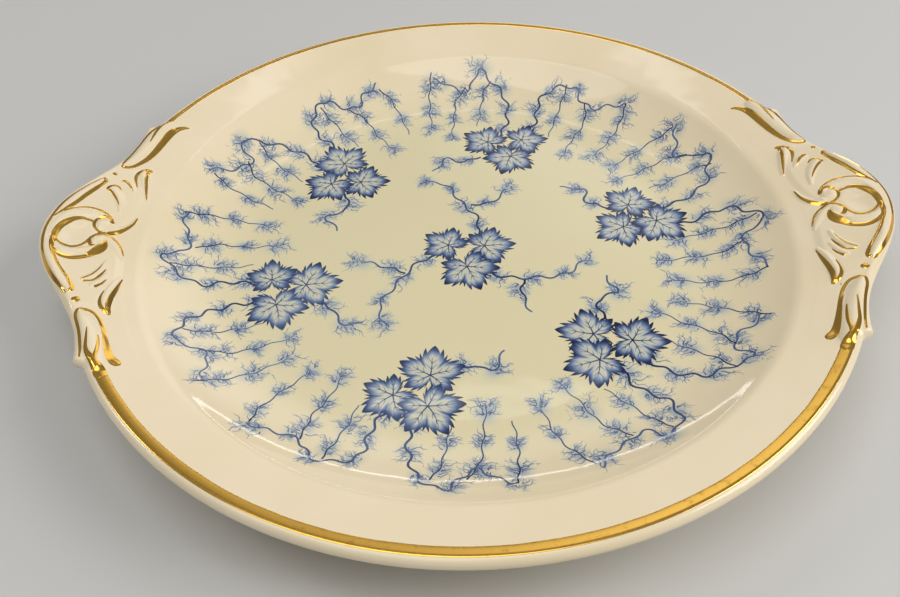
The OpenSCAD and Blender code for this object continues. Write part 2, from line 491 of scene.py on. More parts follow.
class Nodes:
    """A node tree, with short words for the steps that the finishes share."""

    def __init__(self, tree: bpy.types.NodeTree) -> None:
        """Takes the tree to add to."""
        self.tree = tree

    def feed(self, target: Socket, value: object) -> None:
        """Joins a socket to an input, or sets a plain value on it.

        Args:
            target: The input.
            value: Socket or plain value.
        """
        if isinstance(value, Socket):
            self.tree.links.new(value, target)
        else:
            target.default_value = value

    def add(self, kind: str, feeds: Feeds | None = None, **settings: object) -> bpy.types.Node:
        """Adds a node.

        Args:
            kind: Blender's name for the node, less ShaderNode.
            feeds: Socket or plain value for each input that has one.
            settings: Settings of the node itself.

        Returns:
            The node.
        """
        made = self.tree.nodes.new(f"ShaderNode{kind}")
        for key, value in settings.items():
            setattr(made, key, value)
        for key, value in (feeds or {}).items():
            self.feed(made.inputs[key], value)
        return made

    @cached_property
    def place(self) -> Socket:
        """Object coordinates, added once."""
        return self.add("TexCoord").outputs["Object"]

    def noise(self, scale: float, detail: float) -> Socket:
        """Adds a noise on Object coordinates and gives its value."""
        feeds = {"Vector": self.place, "Scale": scale, "Detail": detail}
        return self.add("TexNoise", feeds).outputs["Fac"]

    def sum(self, kind: str, first: Socket, second: object) -> Socket:
        """Works out a sum of one kind from two values."""
        return self.add("Math", {0: first, 1: second}, operation=kind).outputs[0]

    def mix(self, share: Socket, first: object, second: object) -> Socket:
        """Mixes two colours, plain or from sockets, by the share of the second."""
        return self.add("Mix", {"Factor": share, 6: first, 7: second}, data_type="RGBA").outputs[2]

    def span(
        self, value: Socket, to: Pair = (0, 1), begin: float = 0, end: float = 1, kind: str = "LINEAR"
    ) -> Socket:
        """Spreads a value over two levels.

        Args:
            value: Socket of the value.
            to: Levels at begin and at end.
            begin: Value at the first level.
            end: Value at the second level.
            kind: Blender's name for the way between them.

        Returns:
            Socket of the level.
        """
        feeds = {"Value": value, "From Min": begin, "From Max": end, "To Min": to[0], "To Max": to[1]}
        return self.add("MapRange", feeds, interpolation_type=kind).outputs["Result"]

    def bump(self, height: Socket, depth: float) -> Socket:
        """Raises a surface's shading by a height mask, with a depth in metres."""
        return self.add("Bump", {"Height": height, "Distance": depth}).outputs["Normal"]


class Shader(Nodes):
    """A material with one Principled shader."""

    def __init__(self, name: str) -> None:
        """Starts the material.

        Args:
            name: Its name.
        """
        self.material = bpy.data.materials.new(name)
        self.material.use_nodes = True
        super().__init__(self.material.node_tree)

    def finish(self, **feeds: object) -> Material:
        """Feeds the Principled shader.

        Args:
            feeds: Socket or plain value for each input, with _ for the spaces in its name.

        Returns:
            The finished material.
        """
        surface = self.tree.nodes["Principled BSDF"]
        for key, value in feeds.items():
            self.feed(surface.inputs[key.replace("_", " ")], value)
        return self.material


@dataclass(frozen=True)
class GlazeDepth:
    """Clouds, kiln specks, ripples and pooling of the glaze, shared by all that lies under it."""

    name: str = "glaze_depth"
    cloud_scale: float = 26.0
    ripple_scale: float = 70.0
    peel_scale: float = 900.0
    peel_share: float = 0.02
    speck_scale: float = 85.0
    speck_size: float = 0.026
    speck_rarity: float = 0.88
    pool_r: float = 0.058
    pool_end_r: float = 0.104

    def group(self) -> bpy.types.NodeTree:
        """Builds the shader group once.

        Returns:
            The group, which puts out Cloud, Specks, Ripple and Pool.
        """
        if self.name in bpy.data.node_groups:
            return bpy.data.node_groups[self.name]
        tree = bpy.data.node_groups.new(self.name, "ShaderNodeTree")
        for label in ("Cloud", "Specks", "Ripple", "Pool"):
            tree.interface.new_socket(label, in_out="OUTPUT", socket_type="NodeSocketFloat")
        nodes = Nodes(tree)
        give = tree.nodes.new("NodeGroupOutput").inputs
        cells = nodes.add("TexVoronoi", {"Vector": nodes.place, "Scale": self.speck_scale}).outputs
        chance = nodes.add("SeparateColor", {"Color": cells["Color"]}).outputs["Red"]
        spot = nodes.sum("LESS_THAN", cells["Distance"], self.speck_size)
        rare = nodes.sum("GREATER_THAN", chance, self.speck_rarity)
        peel = nodes.sum("MULTIPLY", nodes.noise(self.peel_scale, 1.0), self.peel_share)
        plan = nodes.add("VectorMath", {0: nodes.place, 1: (1.0, 1.0, 0.0)}, operation="MULTIPLY")
        reach = nodes.add("VectorMath", {0: plan.outputs["Vector"]}, operation="LENGTH").outputs["Value"]
        pool = nodes.span(reach, begin=self.pool_end_r, end=self.pool_r, kind="SMOOTHSTEP")
        nodes.feed(give["Cloud"], nodes.noise(self.cloud_scale, 3.0))
        nodes.feed(give["Specks"], nodes.sum("MULTIPLY", spot, rare))
        nodes.feed(give["Ripple"], nodes.sum("ADD", nodes.noise(self.ripple_scale, 1.0), peel))
        nodes.feed(give["Pool"], pool)
        return tree


@dataclass(frozen=True)
class GlazeFinish:
    """Clear gloss glaze over warm white porcelain."""

    name: str = "porcelain_glaze"
    pale: Colour = rgb(248, 233, 203)
    warm: Colour = rgb(238, 221, 183)
    pooled: Colour = rgb(224, 215, 174)
    speck: Colour = rgb(150, 128, 96)
    cloud_levels: Pair = (-0.2, 1.2)
    pool_levels: Pair = (0.0, 0.85)
    gloss: Pair = (0.03, 0.08)
    ripple_depth: float = 0.00010

    def depth(self, shader: Shader) -> Sockets:
        """Adds the glaze's shared group and gives its sockets."""
        return shader.add("Group", node_tree=GlazeDepth().group()).outputs

    def ground(self, shader: Shader, depth: Sockets) -> Socket:
        """Mixes the clouded colour of the clay under the glaze."""
        clouded = shader.mix(shader.span(depth["Cloud"], self.cloud_levels), self.pale, self.warm)
        return shader.mix(shader.span(depth["Pool"], self.pool_levels), clouded, self.pooled)

    def coat(self, shader: Shader, depth: Sockets, colour: Socket) -> Material:
        """Lays the glaze over a colour.

        Args:
            shader: Material to finish.
            depth: Sockets of the glaze's group.
            colour: Colour that shows through the glaze.

        Returns:
            The finished material.
        """
        gloss = shader.span(depth["Cloud"], self.gloss)
        ripple = shader.bump(depth["Ripple"], self.ripple_depth)
        return shader.finish(Base_Color=colour, Roughness=gloss, Normal=ripple)

    def material(self) -> Material:
        """Makes the glaze's material.

        Returns:
            Clear glaze over the clay and its specks.
        """
        shader = Shader(self.name)
        depth = self.depth(shader)
        colour = shader.mix(depth["Specks"], self.ground(shader, depth), self.speck)
        return self.coat(shader, depth, colour)


@dataclass(frozen=True)
class PrintFinish:
    """Blue print under the glaze, as dark as the piece's ink attribute says."""

    name: str = "blue_print"
    glaze: GlazeFinish = GlazeFinish()
    full_cover: float = 0.22
    blot_levels: Pair = (0.62, 1.3)
    stops: tuple[tuple[float, Colour], ...] = (
        (0.1, rgb(198, 202, 188)),
        (0.35, rgb(150, 163, 182)),
        (0.7, rgb(82, 103, 142)),
        (1.0, rgb(22, 37, 76)),
    )

    def material(self) -> Material:
        """Makes the print's material.

        Returns:
            Ink over the clay, and the glaze over both.
        """
        shader = Shader(self.name)
        depth = self.glaze.depth(shader)
        ink = shader.add("Attribute", attribute_name="ink").outputs["Fac"]
        blot = shader.sum("MULTIPLY", ink, shader.span(depth["Cloud"], self.blot_levels))
        ramp = shader.add("ValToRGB", {"Fac": blot})
        points = ramp.color_ramp.elements
        points[0].position, points[0].color = self.stops[0]
        points[1].position, points[1].color = self.stops[-1]
        for place, colour in self.stops[1:-1]:
            points.new(place).color = colour
        cover = shader.span(blot, end=self.full_cover)
        colour = shader.mix(cover, self.glaze.ground(shader, depth), ramp.outputs["Color"])
        return self.glaze.coat(shader, depth, colour)


@dataclass(frozen=True)
class GoldFinish:
    """Burnished gold, brushed on by hand and thinned by use."""

    name: str = "burnished_gold"
    bright: Colour = rgb(239, 187, 84)
    thin: Colour = rgb(204, 148, 62)
    blot_scale: float = 420.0
    worn_from: float = 0.52
    worn_to: float = 0.9
    gloss: Pair = (0.15, 0.26)
    brush_scale: float = 1500.0
    brush_depth: float = 0.000003

    def material(self) -> Material:
        """Makes the gold's material.

        Returns:
            Bright gold, duller where it is worn.
        """
        shader = Shader(self.name)
        blots = shader.noise(self.blot_scale, 4.0)
        worn = shader.span(blots, begin=self.worn_from, end=self.worn_to, kind="SMOOTHSTEP")
        return shader.finish(
            Base_Color=shader.mix(worn, self.bright, self.thin),
            Metallic=1.0,
            Roughness=shader.span(worn, self.gloss),
            Normal=shader.bump(shader.noise(self.brush_scale, 2.0), self.brush_depth),
        )


@dataclass(frozen=True)
class BareClayFinish:
    """Ground, unglazed porcelain of the foot's sole."""

    name: str = "bare_clay"
    clean: Colour = rgb(226, 216, 196)
    soiled: Colour = rgb(176, 160, 134)
    grain_scale: float = 600.0
    grain_depth: float = 0.0001
    matt: Pair = (0.7, 0.95)

    def material(self) -> Material:
        """Makes the bare clay's material.

        Returns:
            Matt, grainy clay.
        """
        shader = Shader(self.name)
        grain = shader.noise(self.grain_scale, 6.0)
        return shader.finish(
            Base_Color=shader.mix(grain, self.clean, self.soiled),
            Roughness=shader.span(grain, self.matt),
            Normal=shader.bump(grain, self.grain_depth),
        )


@dataclass(frozen=True)
class Finishes:
    """The plate's materials, made once and shared by its pieces."""

    glaze: Material
    ink: Material
    gold: Material
    clay: Material

    @classmethod
    def mixed(cls) -> "Finishes":
        """Makes all four materials.

        Returns:
            The finishes for all the pieces.
        """
        return cls(
            glaze=GlazeFinish().material(),
            ink=PrintFinish().material(),
            gold=GoldFinish().material(),
            clay=BareClayFinish().material(),
        )


def dress(piece: Piece, slot: str, nodes: tuple[str, ...], *finishes: Material) -> None:
    """Gives a piece its finish and fixes it to the plate.

    Args:
        piece: Finished piece.
        slot: The record's material slot; not used.
        nodes: CAD nodes that the piece stands for.
        finishes: Materials, in the order of the piece's slots.
    """
    piece.data.materials.clear()
    for finish in finishes:
        piece.data.materials.append(finish)
    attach(piece, "root")
    if nodes:
        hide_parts(*nodes)
    LOG.info("%s: %d points, stands for %s", piece.name, len(piece.data.vertices), nodes or "no node")


@dataclass(frozen=True)
class GlazedBody:
    """The turned plate from its floor to its rounded lip."""

    form: PlateForm
    floor_step: float = 3.0
    side_step: float = 1.1
    verge_steps: int = 8
    lip_steps: int = 18
    turn_steps: int = 360

    def section(self) -> Array:
        """Draws half a section of the plate.

        Returns:
            Rows of radius and height, from the axis along the top to the lip and back underneath.
        """
        form = self.form
        faces = []
        for skin in Skin:
            begin, end = form.breaks(skin)
            stop = form.lip_at[0] - skin.value * form.lip_r * math.sin(form.rim_slope)
            r = np.concatenate([
                np.arange(0.0, form.well_r, self.floor_step),
                np.linspace(form.well_r, begin, round((begin - form.well_r) / self.side_step)),
                np.linspace(begin, end, self.verge_steps + 1)[1:],
                np.linspace(end, stop, round((stop - end) / self.side_step))[1:],
            ])
            faces.append(np.column_stack([r, form.skin_z(r, skin)]))
        angle = np.linspace(math.pi / 2, -math.pi / 2, self.lip_steps + 1)[1:-1] + form.rim_slope
        lip = np.array(form.lip_at) + form.lip_r * toward(angle)
        return np.vstack([faces[0], lip, faces[1][::-1]])

    def build(self, finishes: Finishes) -> None:
        """Spins the section into the body and warps it as the kiln did.

        Args:
            finishes: The plate's materials.
        """
        body = section_ring("glazed_body", self.section())
        spin(body, math.tau, self.turn_steps)
        points = get_points(body)
        points[:, 2] += self.form.warp(points[:, 0], points[:, 1])
        set_points(body, points)
        dress(body, "porcelain", ("plate_body",), finishes.glaze)


@dataclass(frozen=True)
class FootRing:
    """The ring that the plate stands on, glazed but for its ground sole."""

    form: PlateForm
    mid_r: float = 62.0
    root_half: float = 4.2
    sole_half: float = 1.3
    edge_r: float = 0.7
    bury: float = 1.2
    bare_share: float = 0.35
    edge_steps: int = 6
    wall_steps: int = 9
    turn_steps: int = 240

    def section(self) -> Array:
        """Draws the ring's section, with its root buried in the floor and its sole's edges rounded.

        Returns:
            Rows of radius and height round the section.
        """
        top = self.form.floor_under
        arc = np.linspace(0.0, math.pi / 2, self.edge_steps)
        corner = np.column_stack([
            self.sole_half + self.edge_r * np.sin(arc), self.edge_r * (1 - np.cos(arc))
        ])
        t = np.linspace(0.0, 1.0, self.wall_steps)[1:]
        out_half = self.sole_half + self.edge_r
        flare = (self.root_half - out_half) * t**3
        wall = np.column_stack([out_half + flare, self.edge_r + (top - self.edge_r) * t])
        half = np.vstack([corner, wall, [[self.root_half, top + self.bury]]])
        return np.vstack([half, half[::-1] * [-1, 1]]) + [self.mid_r, 0.0]

    def build(self, finishes: Finishes) -> None:
        """Spins the ring and leaves its sole bare.

        Args:
            finishes: The plate's materials.
        """
        ring = section_ring("foot_ring_glazed", self.section())
        spin(ring, math.tau, self.turn_steps)
        dress(ring, "foot_clay", ("foot_ring",), finishes.glaze, finishes.clay)
        for face in ring.data.polygons:
            face.material_index = int(face.center.z < self.bare_share * self.edge_r * MM)


@dataclass(frozen=True)
class Ridge:
    """A rounded band of the handle's mould.

    Attributes:
        line: Rows of x, y and half width along its crest.
        height: Height of the crest where the band is widest.
        lean: Share by which the band is wider on the left of its line than on the right.
    """

    line: Line
    height: float
    lean: float = 0.0

    ROUND = 1.25

    def rise(self, x: Array, y: Array) -> Array:
        """Gives the band's height at points of the plan.

        Args:
            x: First coordinates.
            y: Second coordinates.

        Returns:
            Heights, 0 beside the band.
        """
        line = smooth_line(self.line, MOULD_STEP)
        widest = line[:, 2].max()
        near = beside(line, widest * (1 + abs(self.lean)), x, y)
        gap, half, turn = nearest(line, x[near], y[near])
        share = np.clip(gap / (half * (1 + self.lean * turn)), 0.0, 1.0)
        rise = np.zeros_like(x)
        rise[near] = self.height * np.sqrt(half / widest) * (1 - share**2) ** self.ROUND
        return rise


@dataclass(frozen=True)
class Dome:
    """A round boss of the mould, or a dish where its height is below zero."""

    x: float
    y: float
    half_x: float
    half_y: float
    height: float

    ROUND = 1.5

    def rise(self, x: Array, y: Array) -> Array:
        """Gives the boss's height at points of the plan."""
        share = np.clip(np.hypot((x - self.x) / self.half_x, (y - self.y) / self.half_y), 0.0, 1.0)
        return self.height * (1 - share**2) ** self.ROUND


RIDGES: tuple[Ridge, ...] = (
    # C-scroll at the back of the eye, rolling into its volute
    Ridge((
        (126.6, -2.5, 0.7), (126.5, 1.2, 1.1), (125.1, 5.0, 1.7), (122.3, 7.9, 2.3), (118.8, 9.0, 2.4),
        (115.6, 9.0, 1.8), (113.2, 8.3, 1.4), (111.8, 6.6, 1.3), (111.9, 4.2, 1.3), (113.6, 3.4, 1.0),
    ), 0.85),
    # Crescent in front of the eye, rolling into the lower volute
    Ridge((
        (126.0, -4.0, 0.6), (124.8, -6.6, 1.1), (122.6, -8.6, 1.8), (119.6, -9.4, 2.2),
        (116.6, -8.6, 2.2), (114.2, -7.2, 1.9), (112.4, -5.6, 1.7), (111.8, -3.6, 1.5),
        (112.8, -1.9, 1.3), (114.2, -2.6, 0.9),
    ), 0.95),
    # Tails that run in from the volutes
    Ridge(((104.4, 10.4, 0.6), (105.8, 6.4, 1.2), (108.0, 4.0, 1.6), (110.6, 3.2, 1.4)), 0.6, -0.3),
    Ridge((
        (105.2, -8.6, 0.6), (106.6, -5.4, 1.3), (108.8, -2.8, 1.8), (111.6, -1.2, 1.6),
        (113.6, -1.6, 1.2),
    ), 0.6, -0.3),
    # Reeds along the flanks of the bow
    Ridge((
        (117.2, 24.8, 0.8), (119.3, 21.4, 1.4), (121.8, 17.2, 1.8), (124.0, 13.0, 1.8),
        (125.9, 9.0, 1.5), (127.4, 5.0, 0.8),
    ), 0.9),
    Ridge((
        (116.0, -25.4, 0.9), (118.1, -22.2, 1.6), (120.8, -18.6, 2.0), (123.2, -14.8, 2.1),
        (125.1, -10.6, 1.8), (126.6, -6.0, 1.0),
    ), 0.95),
    # Leaves on the shoulders
    Ridge((
        (112.4, 33.8, 0.9), (110.6, 35.8, 2.0), (108.6, 39.0, 2.8), (106.6, 43.2, 3.3),
        (104.5, 47.6, 3.5), (102.4, 51.8, 3.1), (100.8, 55.0, 1.8),
    ), 1.15, 0.15),
    Ridge((
        (111.2, -33.2, 1.0), (109.4, -36.2, 2.3), (107.2, -40.2, 3.0), (105.2, -44.5, 3.4),
        (103.5, -48.9, 3.5), (101.8, -52.9, 3.0), (100.4, -55.6, 1.8),
    ), 1.25, -0.15),
    # Plumes between the volutes and the leaves
    Ridge(((109.6, 11.6, 0.7), (110.2, 15.2, 1.4), (111.6, 18.6, 1.9), (113.4, 21.4, 1.7)), 0.6),
    Ridge(((107.0, 21.6, 0.6), (108.6, 23.8, 1.1), (110.8, 25.4, 1.2)), 0.45),
    Ridge(((103.0, 19.4, 0.7), (104.0, 24.6, 1.4), (105.4, 29.6, 1.9), (106.0, 31.6, 1.6)), 0.6),
    Ridge(((108.8, -11.4, 0.7), (109.5, -14.8, 1.2), (110.9, -17.8, 1.4), (113.4, -20.0, 0.9)), 0.55),
    Ridge(((107.4, -16.4, 0.6), (108.6, -19.4, 1.1), (110.2, -22.0, 1.2)), 0.45),
    Ridge(((103.8, -17.2, 0.7), (105.2, -22.4, 1.4), (105.6, -27.2, 1.8), (104.6, -31.2, 1.5)), 0.6),
)

DOMES: tuple[Dome, ...] = (
    Dome(113.4, 4.8, 2.6, 2.7, 0.95),
    Dome(113.3, -3.2, 2.4, 2.4, 0.9),
)
EYE = Dome(120.6, -0.4, 5.0, 6.4, -0.45)

# Inner edge of the ground under the ornament, as rows of x and y
PAD_EDGE: Knots = (
    (105.5, -34.0), (103.6, -30.0), (103.0, -22.0), (103.6, -15.0), (104.2, -10.0), (105.2, -5.8),
    (107.0, -2.2), (109.2, 0.2), (109.2, 2.4), (106.8, 5.8), (104.8, 10.6), (103.5, 17.0), (103.0, 24.0),
    (103.4, 30.0), (106.0, 34.0),
)

# Gold lines of a handle, as rows of x, y and width
GILT_LINES: dict[str, Line] = {
    "back reed, inner": (
        (117.5, 26.0, 0.61), (116.6, 25.7, 0.9), (116.3, 24.6, 1.0), (117.0, 22.9, 0.9),
        (118.4, 20.4, 0.98), (120.5, 16.7, 0.92), (122.6, 12.6, 0.85), (124.6, 9.3, 0.79),
        (127.4, 5.2, 0.4),
    ),
    "bow, outer": (
        (117.6, 25.7, 0.4), (120.4, 22.0, 0.85), (123.2, 17.7, 0.98), (125.6, 13.1, 0.98),
        (127.2, 8.6, 0.98), (128.2, 4.0, 0.85), (128.6, 0.0, 0.79), (128.3, -4.6, 0.92),
        (127.3, -9.4, 0.9), (125.5, -14.0, 1.0), (122.9, -18.6, 1.0), (119.7, -22.8, 0.9),
        (116.5, -26.7, 0.61),
    ),
    "front reed, inner": (
        (125.5, -5.6, 0.73), (124.9, -8.4, 0.98), (123.2, -12.0, 0.9), (121.0, -15.7, 0.9),
        (118.6, -19.0, 0.95), (116.6, -21.8, 1.05), (115.4, -24.0, 1.15), (115.4, -25.3, 1.0),
        (116.3, -25.8, 0.61),
    ),
    "C-scroll, outer": (
        (125.8, 7.7, 0.61), (123.8, 9.4, 0.79), (121.0, 10.8, 0.85), (117.8, 11.4, 0.85),
        (114.8, 10.8, 0.85), (112.6, 9.3, 0.98), (111.2, 7.6, 1.0), (110.8, 6.2, 1.35),
        (111.0, 5.5, 0.9),
    ),
    "back volute": (
        (110.9, 6.4, 0.98), (111.6, 7.5, 0.98), (113.0, 8.0, 0.92), (114.5, 7.4, 0.85),
        (115.5, 6.1, 1.15), (115.7, 4.5, 1.15), (115.2, 2.9, 0.85), (114.0, 1.7, 0.85),
        (112.4, 1.2, 0.61),
    ),
    "eye, back": (
        (115.6, 5.3, 0.98), (117.3, 5.9, 1.0), (119.5, 6.2, 1.1), (121.7, 5.3, 1.5), (123.6, 3.3, 1.9),
        (124.8, 1.0, 1.9), (125.3, -1.5, 1.9), (125.3, -4.0, 1.7), (124.9, -6.6, 1.3),
        (124.3, -9.0, 0.8),
    ),
    "eye, front": (
        (105.0, -7.5, 0.3), (106.0, -4.8, 0.61), (107.5, -2.2, 0.73), (109.5, -0.4, 0.79),
        (111.2, 0.5, 0.85), (112.6, 0.6, 0.85), (114.2, -0.2, 0.85), (115.4, -1.8, 0.85),
        (116.3, -4.1, 0.85), (117.8, -6.0, 0.85), (120.0, -6.9, 0.85), (122.6, -6.2, 0.85),
        (124.4, -4.6, 0.73), (125.2, -2.6, 0.4),
    ),
    "front volute": ((115.6, -2.3, 0.85), (115.4, -3.6, 1.2), (114.6, -4.9, 1.2), (113.4, -5.5, 0.73)),
    "front curl": (
        (111.1, -2.4, 0.6), (110.8, -4.0, 1.5), (111.2, -5.7, 2.4), (112.2, -7.3, 2.5),
        (113.4, -8.7, 1.8), (114.8, -9.9, 1.1),
    ),
    "crescent, lower": (
        (112.2, -8.0, 1.0), (114.2, -9.9, 1.2), (116.8, -11.3, 1.3), (119.4, -11.8, 1.3),
        (122.0, -11.1, 1.2), (124.0, -9.4, 1.0), (125.3, -7.2, 0.85), (126.0, -5.0, 0.4),
    ),
    "back tail": (
        (104.2, 10.2, 0.3), (105.0, 7.0, 0.73), (106.3, 4.6, 1.0), (108.1, 2.7, 1.3), (110.4, 1.5, 1.2),
        (112.6, 0.9, 0.98), (114.0, 0.9, 0.61),
    ),
    "back plume hook": (
        (111.0, 21.6, 0.35), (112.2, 23.0, 0.7), (113.7, 23.1, 0.9), (114.9, 22.0, 1.1),
        (115.2, 20.8, 0.9),
    ),
    "back plume": ((114.7, 20.9, 0.9), (113.0, 19.0, 0.8), (111.4, 16.5, 0.6), (110.4, 14.2, 0.25)),
    "back drop": (
        (111.7, 26.0, 0.61), (110.9, 25.9, 1.35), (109.8, 25.2, 1.15), (108.6, 23.6, 0.73),
        (107.7, 21.8, 0.25),
    ),
    "back cap": (
        (103.4, 32.8, 0.73), (104.8, 33.1, 1.4), (106.5, 32.3, 1.5), (107.7, 30.2, 1.1),
        (107.8, 27.6, 0.98), (106.7, 23.8, 0.3),
    ),
    "back frond": ((104.6, 33.1, 0.9), (104.7, 29.0, 0.9), (104.0, 24.0, 0.85), (103.1, 18.8, 0.3)),
    "front plume, first": (
        (109.6, -12.4, 0.25), (110.2, -15.4, 0.55), (111.6, -18.2, 0.65), (113.9, -20.3, 0.5),
    ),
    "front plume, second": (
        (108.2, -14.6, 0.25), (109.2, -17.4, 0.55), (110.8, -19.9, 0.65), (113.6, -20.9, 0.5),
    ),
    "front plume, third": ((107.2, -18.8, 0.25), (108.2, -21.0, 0.6), (109.8, -22.9, 0.7)),
    "front frond, inner": (
        (103.2, -17.5, 0.3), (103.8, -21.8, 0.92), (104.4, -26.3, 1.15), (104.4, -30.0, 1.35),
        (103.5, -33.2, 0.98),
    ),
    "front frond, outer": (
        (106.9, -23.6, 0.3), (107.2, -27.0, 0.8), (106.6, -29.8, 1.1), (105.3, -31.6, 1.0),
        (104.2, -32.8, 0.8),
    ),
    "back bead": ((113.9, 28.1, 0.73), (114.1, 28.4, 1.3), (114.7, 29.0, 1.3), (114.9, 29.3, 0.73)),
    "front bead": ((113.5, -27.5, 1.1), (113.4, -28.2, 2.3), (113.2, -29.2, 2.3), (113.1, -29.9, 1.1)),
    "front leaf": (
        (106.1, -52.6, 0.5), (106.8, -49.4, 0.75), (108.2, -45.0, 0.9), (110.0, -40.0, 0.9),
        (111.9, -35.5, 0.92), (112.2, -33.4, 0.98), (111.6, -32.3, 0.98), (110.1, -32.1, 0.85),
        (107.8, -32.9, 0.9), (105.5, -35.5, 1.0), (103.5, -39.5, 1.1), (101.8, -43.8, 1.3),
        (100.1, -48.0, 1.7), (98.5, -51.3, 2.2), (97.0, -53.0, 2.6), (95.2, -53.9, 2.0),
    ),
    "front leaf vein, outer": (
        (107.5, -39.8, 0.3), (106.5, -44.4, 0.75), (105.4, -48.8, 1.1), (104.0, -51.6, 1.5),
        (102.2, -54.2, 1.8),
    ),
    "front leaf vein, inner": (
        (104.0, -42.4, 0.3), (102.9, -46.0, 0.75), (102.2, -49.4, 1.0), (102.0, -52.2, 1.1),
        (101.4, -55.0, 1.0),
    ),
    "front leaf, into the band": (
        (104.9, -50.0, 0.9), (103.3, -52.3, 1.7), (101.9, -54.3, 2.4), (100.5, -56.2, 3.2),
        (99.3, -58.2, 3.6), (98.4, -59.7, 3.3),
    ),
    "back leaf": (
        (94.0, 54.7, 0.85), (96.0, 54.4, 1.5), (98.2, 52.9, 2.0), (100.2, 49.8, 2.0), (102.2, 45.6, 1.8),
        (104.3, 41.3, 1.5), (106.5, 37.4, 1.2), (109.0, 34.4, 0.9), (111.0, 33.0, 0.98),
        (112.7, 32.9, 0.98), (113.2, 33.9, 0.61),
    ),
    "back leaf, outer": (
        (98.6, 60.6, 1.2), (99.8, 58.6, 1.5), (101.0, 56.4, 1.6), (102.7, 54.2, 1.4), (104.8, 52.0, 1.1),
        (107.2, 48.6, 0.9), (109.4, 44.2, 0.9), (111.2, 39.8, 0.85), (112.6, 36.0, 0.73),
        (113.2, 34.2, 0.61),
    ),
    "back leaf vein": ((102.6, 54.2, 1.0), (103.8, 51.4, 1.0), (104.8, 48.4, 0.8), (105.8, 45.0, 0.3)),
}


def ribbon(curve: Array, across: tuple[float, ...]) -> tuple[Array, Array]:
    """Lays a flat strip along a curve.

    Args:
        curve: Rows of x, y and width.
        across: Places across the strip, from -1 at its right edge to 1 at its left.

    Returns:
        Rows of x, y and bulge, which grows with the width, and faces as rows of four places.
    """
    left = to_left(unit_run(curve[:, :2]))
    share = np.asarray(across)
    spots = curve[:, None, :2] + left[:, None, :] * (share[:, None] * curve[:, None, 2:3] / 2)
    bulge = (1 - share**2) * curve[:, 2:3]
    wide = len(share)
    corner = (np.arange(len(curve) - 1)[:, None] * wide + np.arange(wide - 1)).ravel()
    faces = np.column_stack([corner, corner + wide, corner + wide + 1, corner + 1])
    return np.concatenate([spots, bulge[:, :, None]], axis=2).reshape(-1, 3), faces


class Sheet:
    """Strokes and patches, collected to become one piece."""

    def __init__(self) -> None:
        """Starts with nothing drawn."""
        self.points: list[Array] = []
        self.faces: list[Array] = []
        self.ink: list[Array] = []
        self.count = 0

    def add(self, points: Array, faces: Array, ink: Array) -> None:
        """Adds a stroke or patch.

        Args:
            points: Rows of x, y and a third value that the owner gives a meaning.
            faces: Rows of four places in points.
            ink: Darkness of each point.
        """
        self.points.append(points)
        self.faces.append(faces + self.count)
        self.ink.append(ink)
        self.count += len(points)

    def drawn(self) -> tuple[Array, Array, Array]:
        """Gives all points, faces and ink drawn so far."""
        return np.vstack(self.points), np.vstack(self.faces), np.concatenate(self.ink)


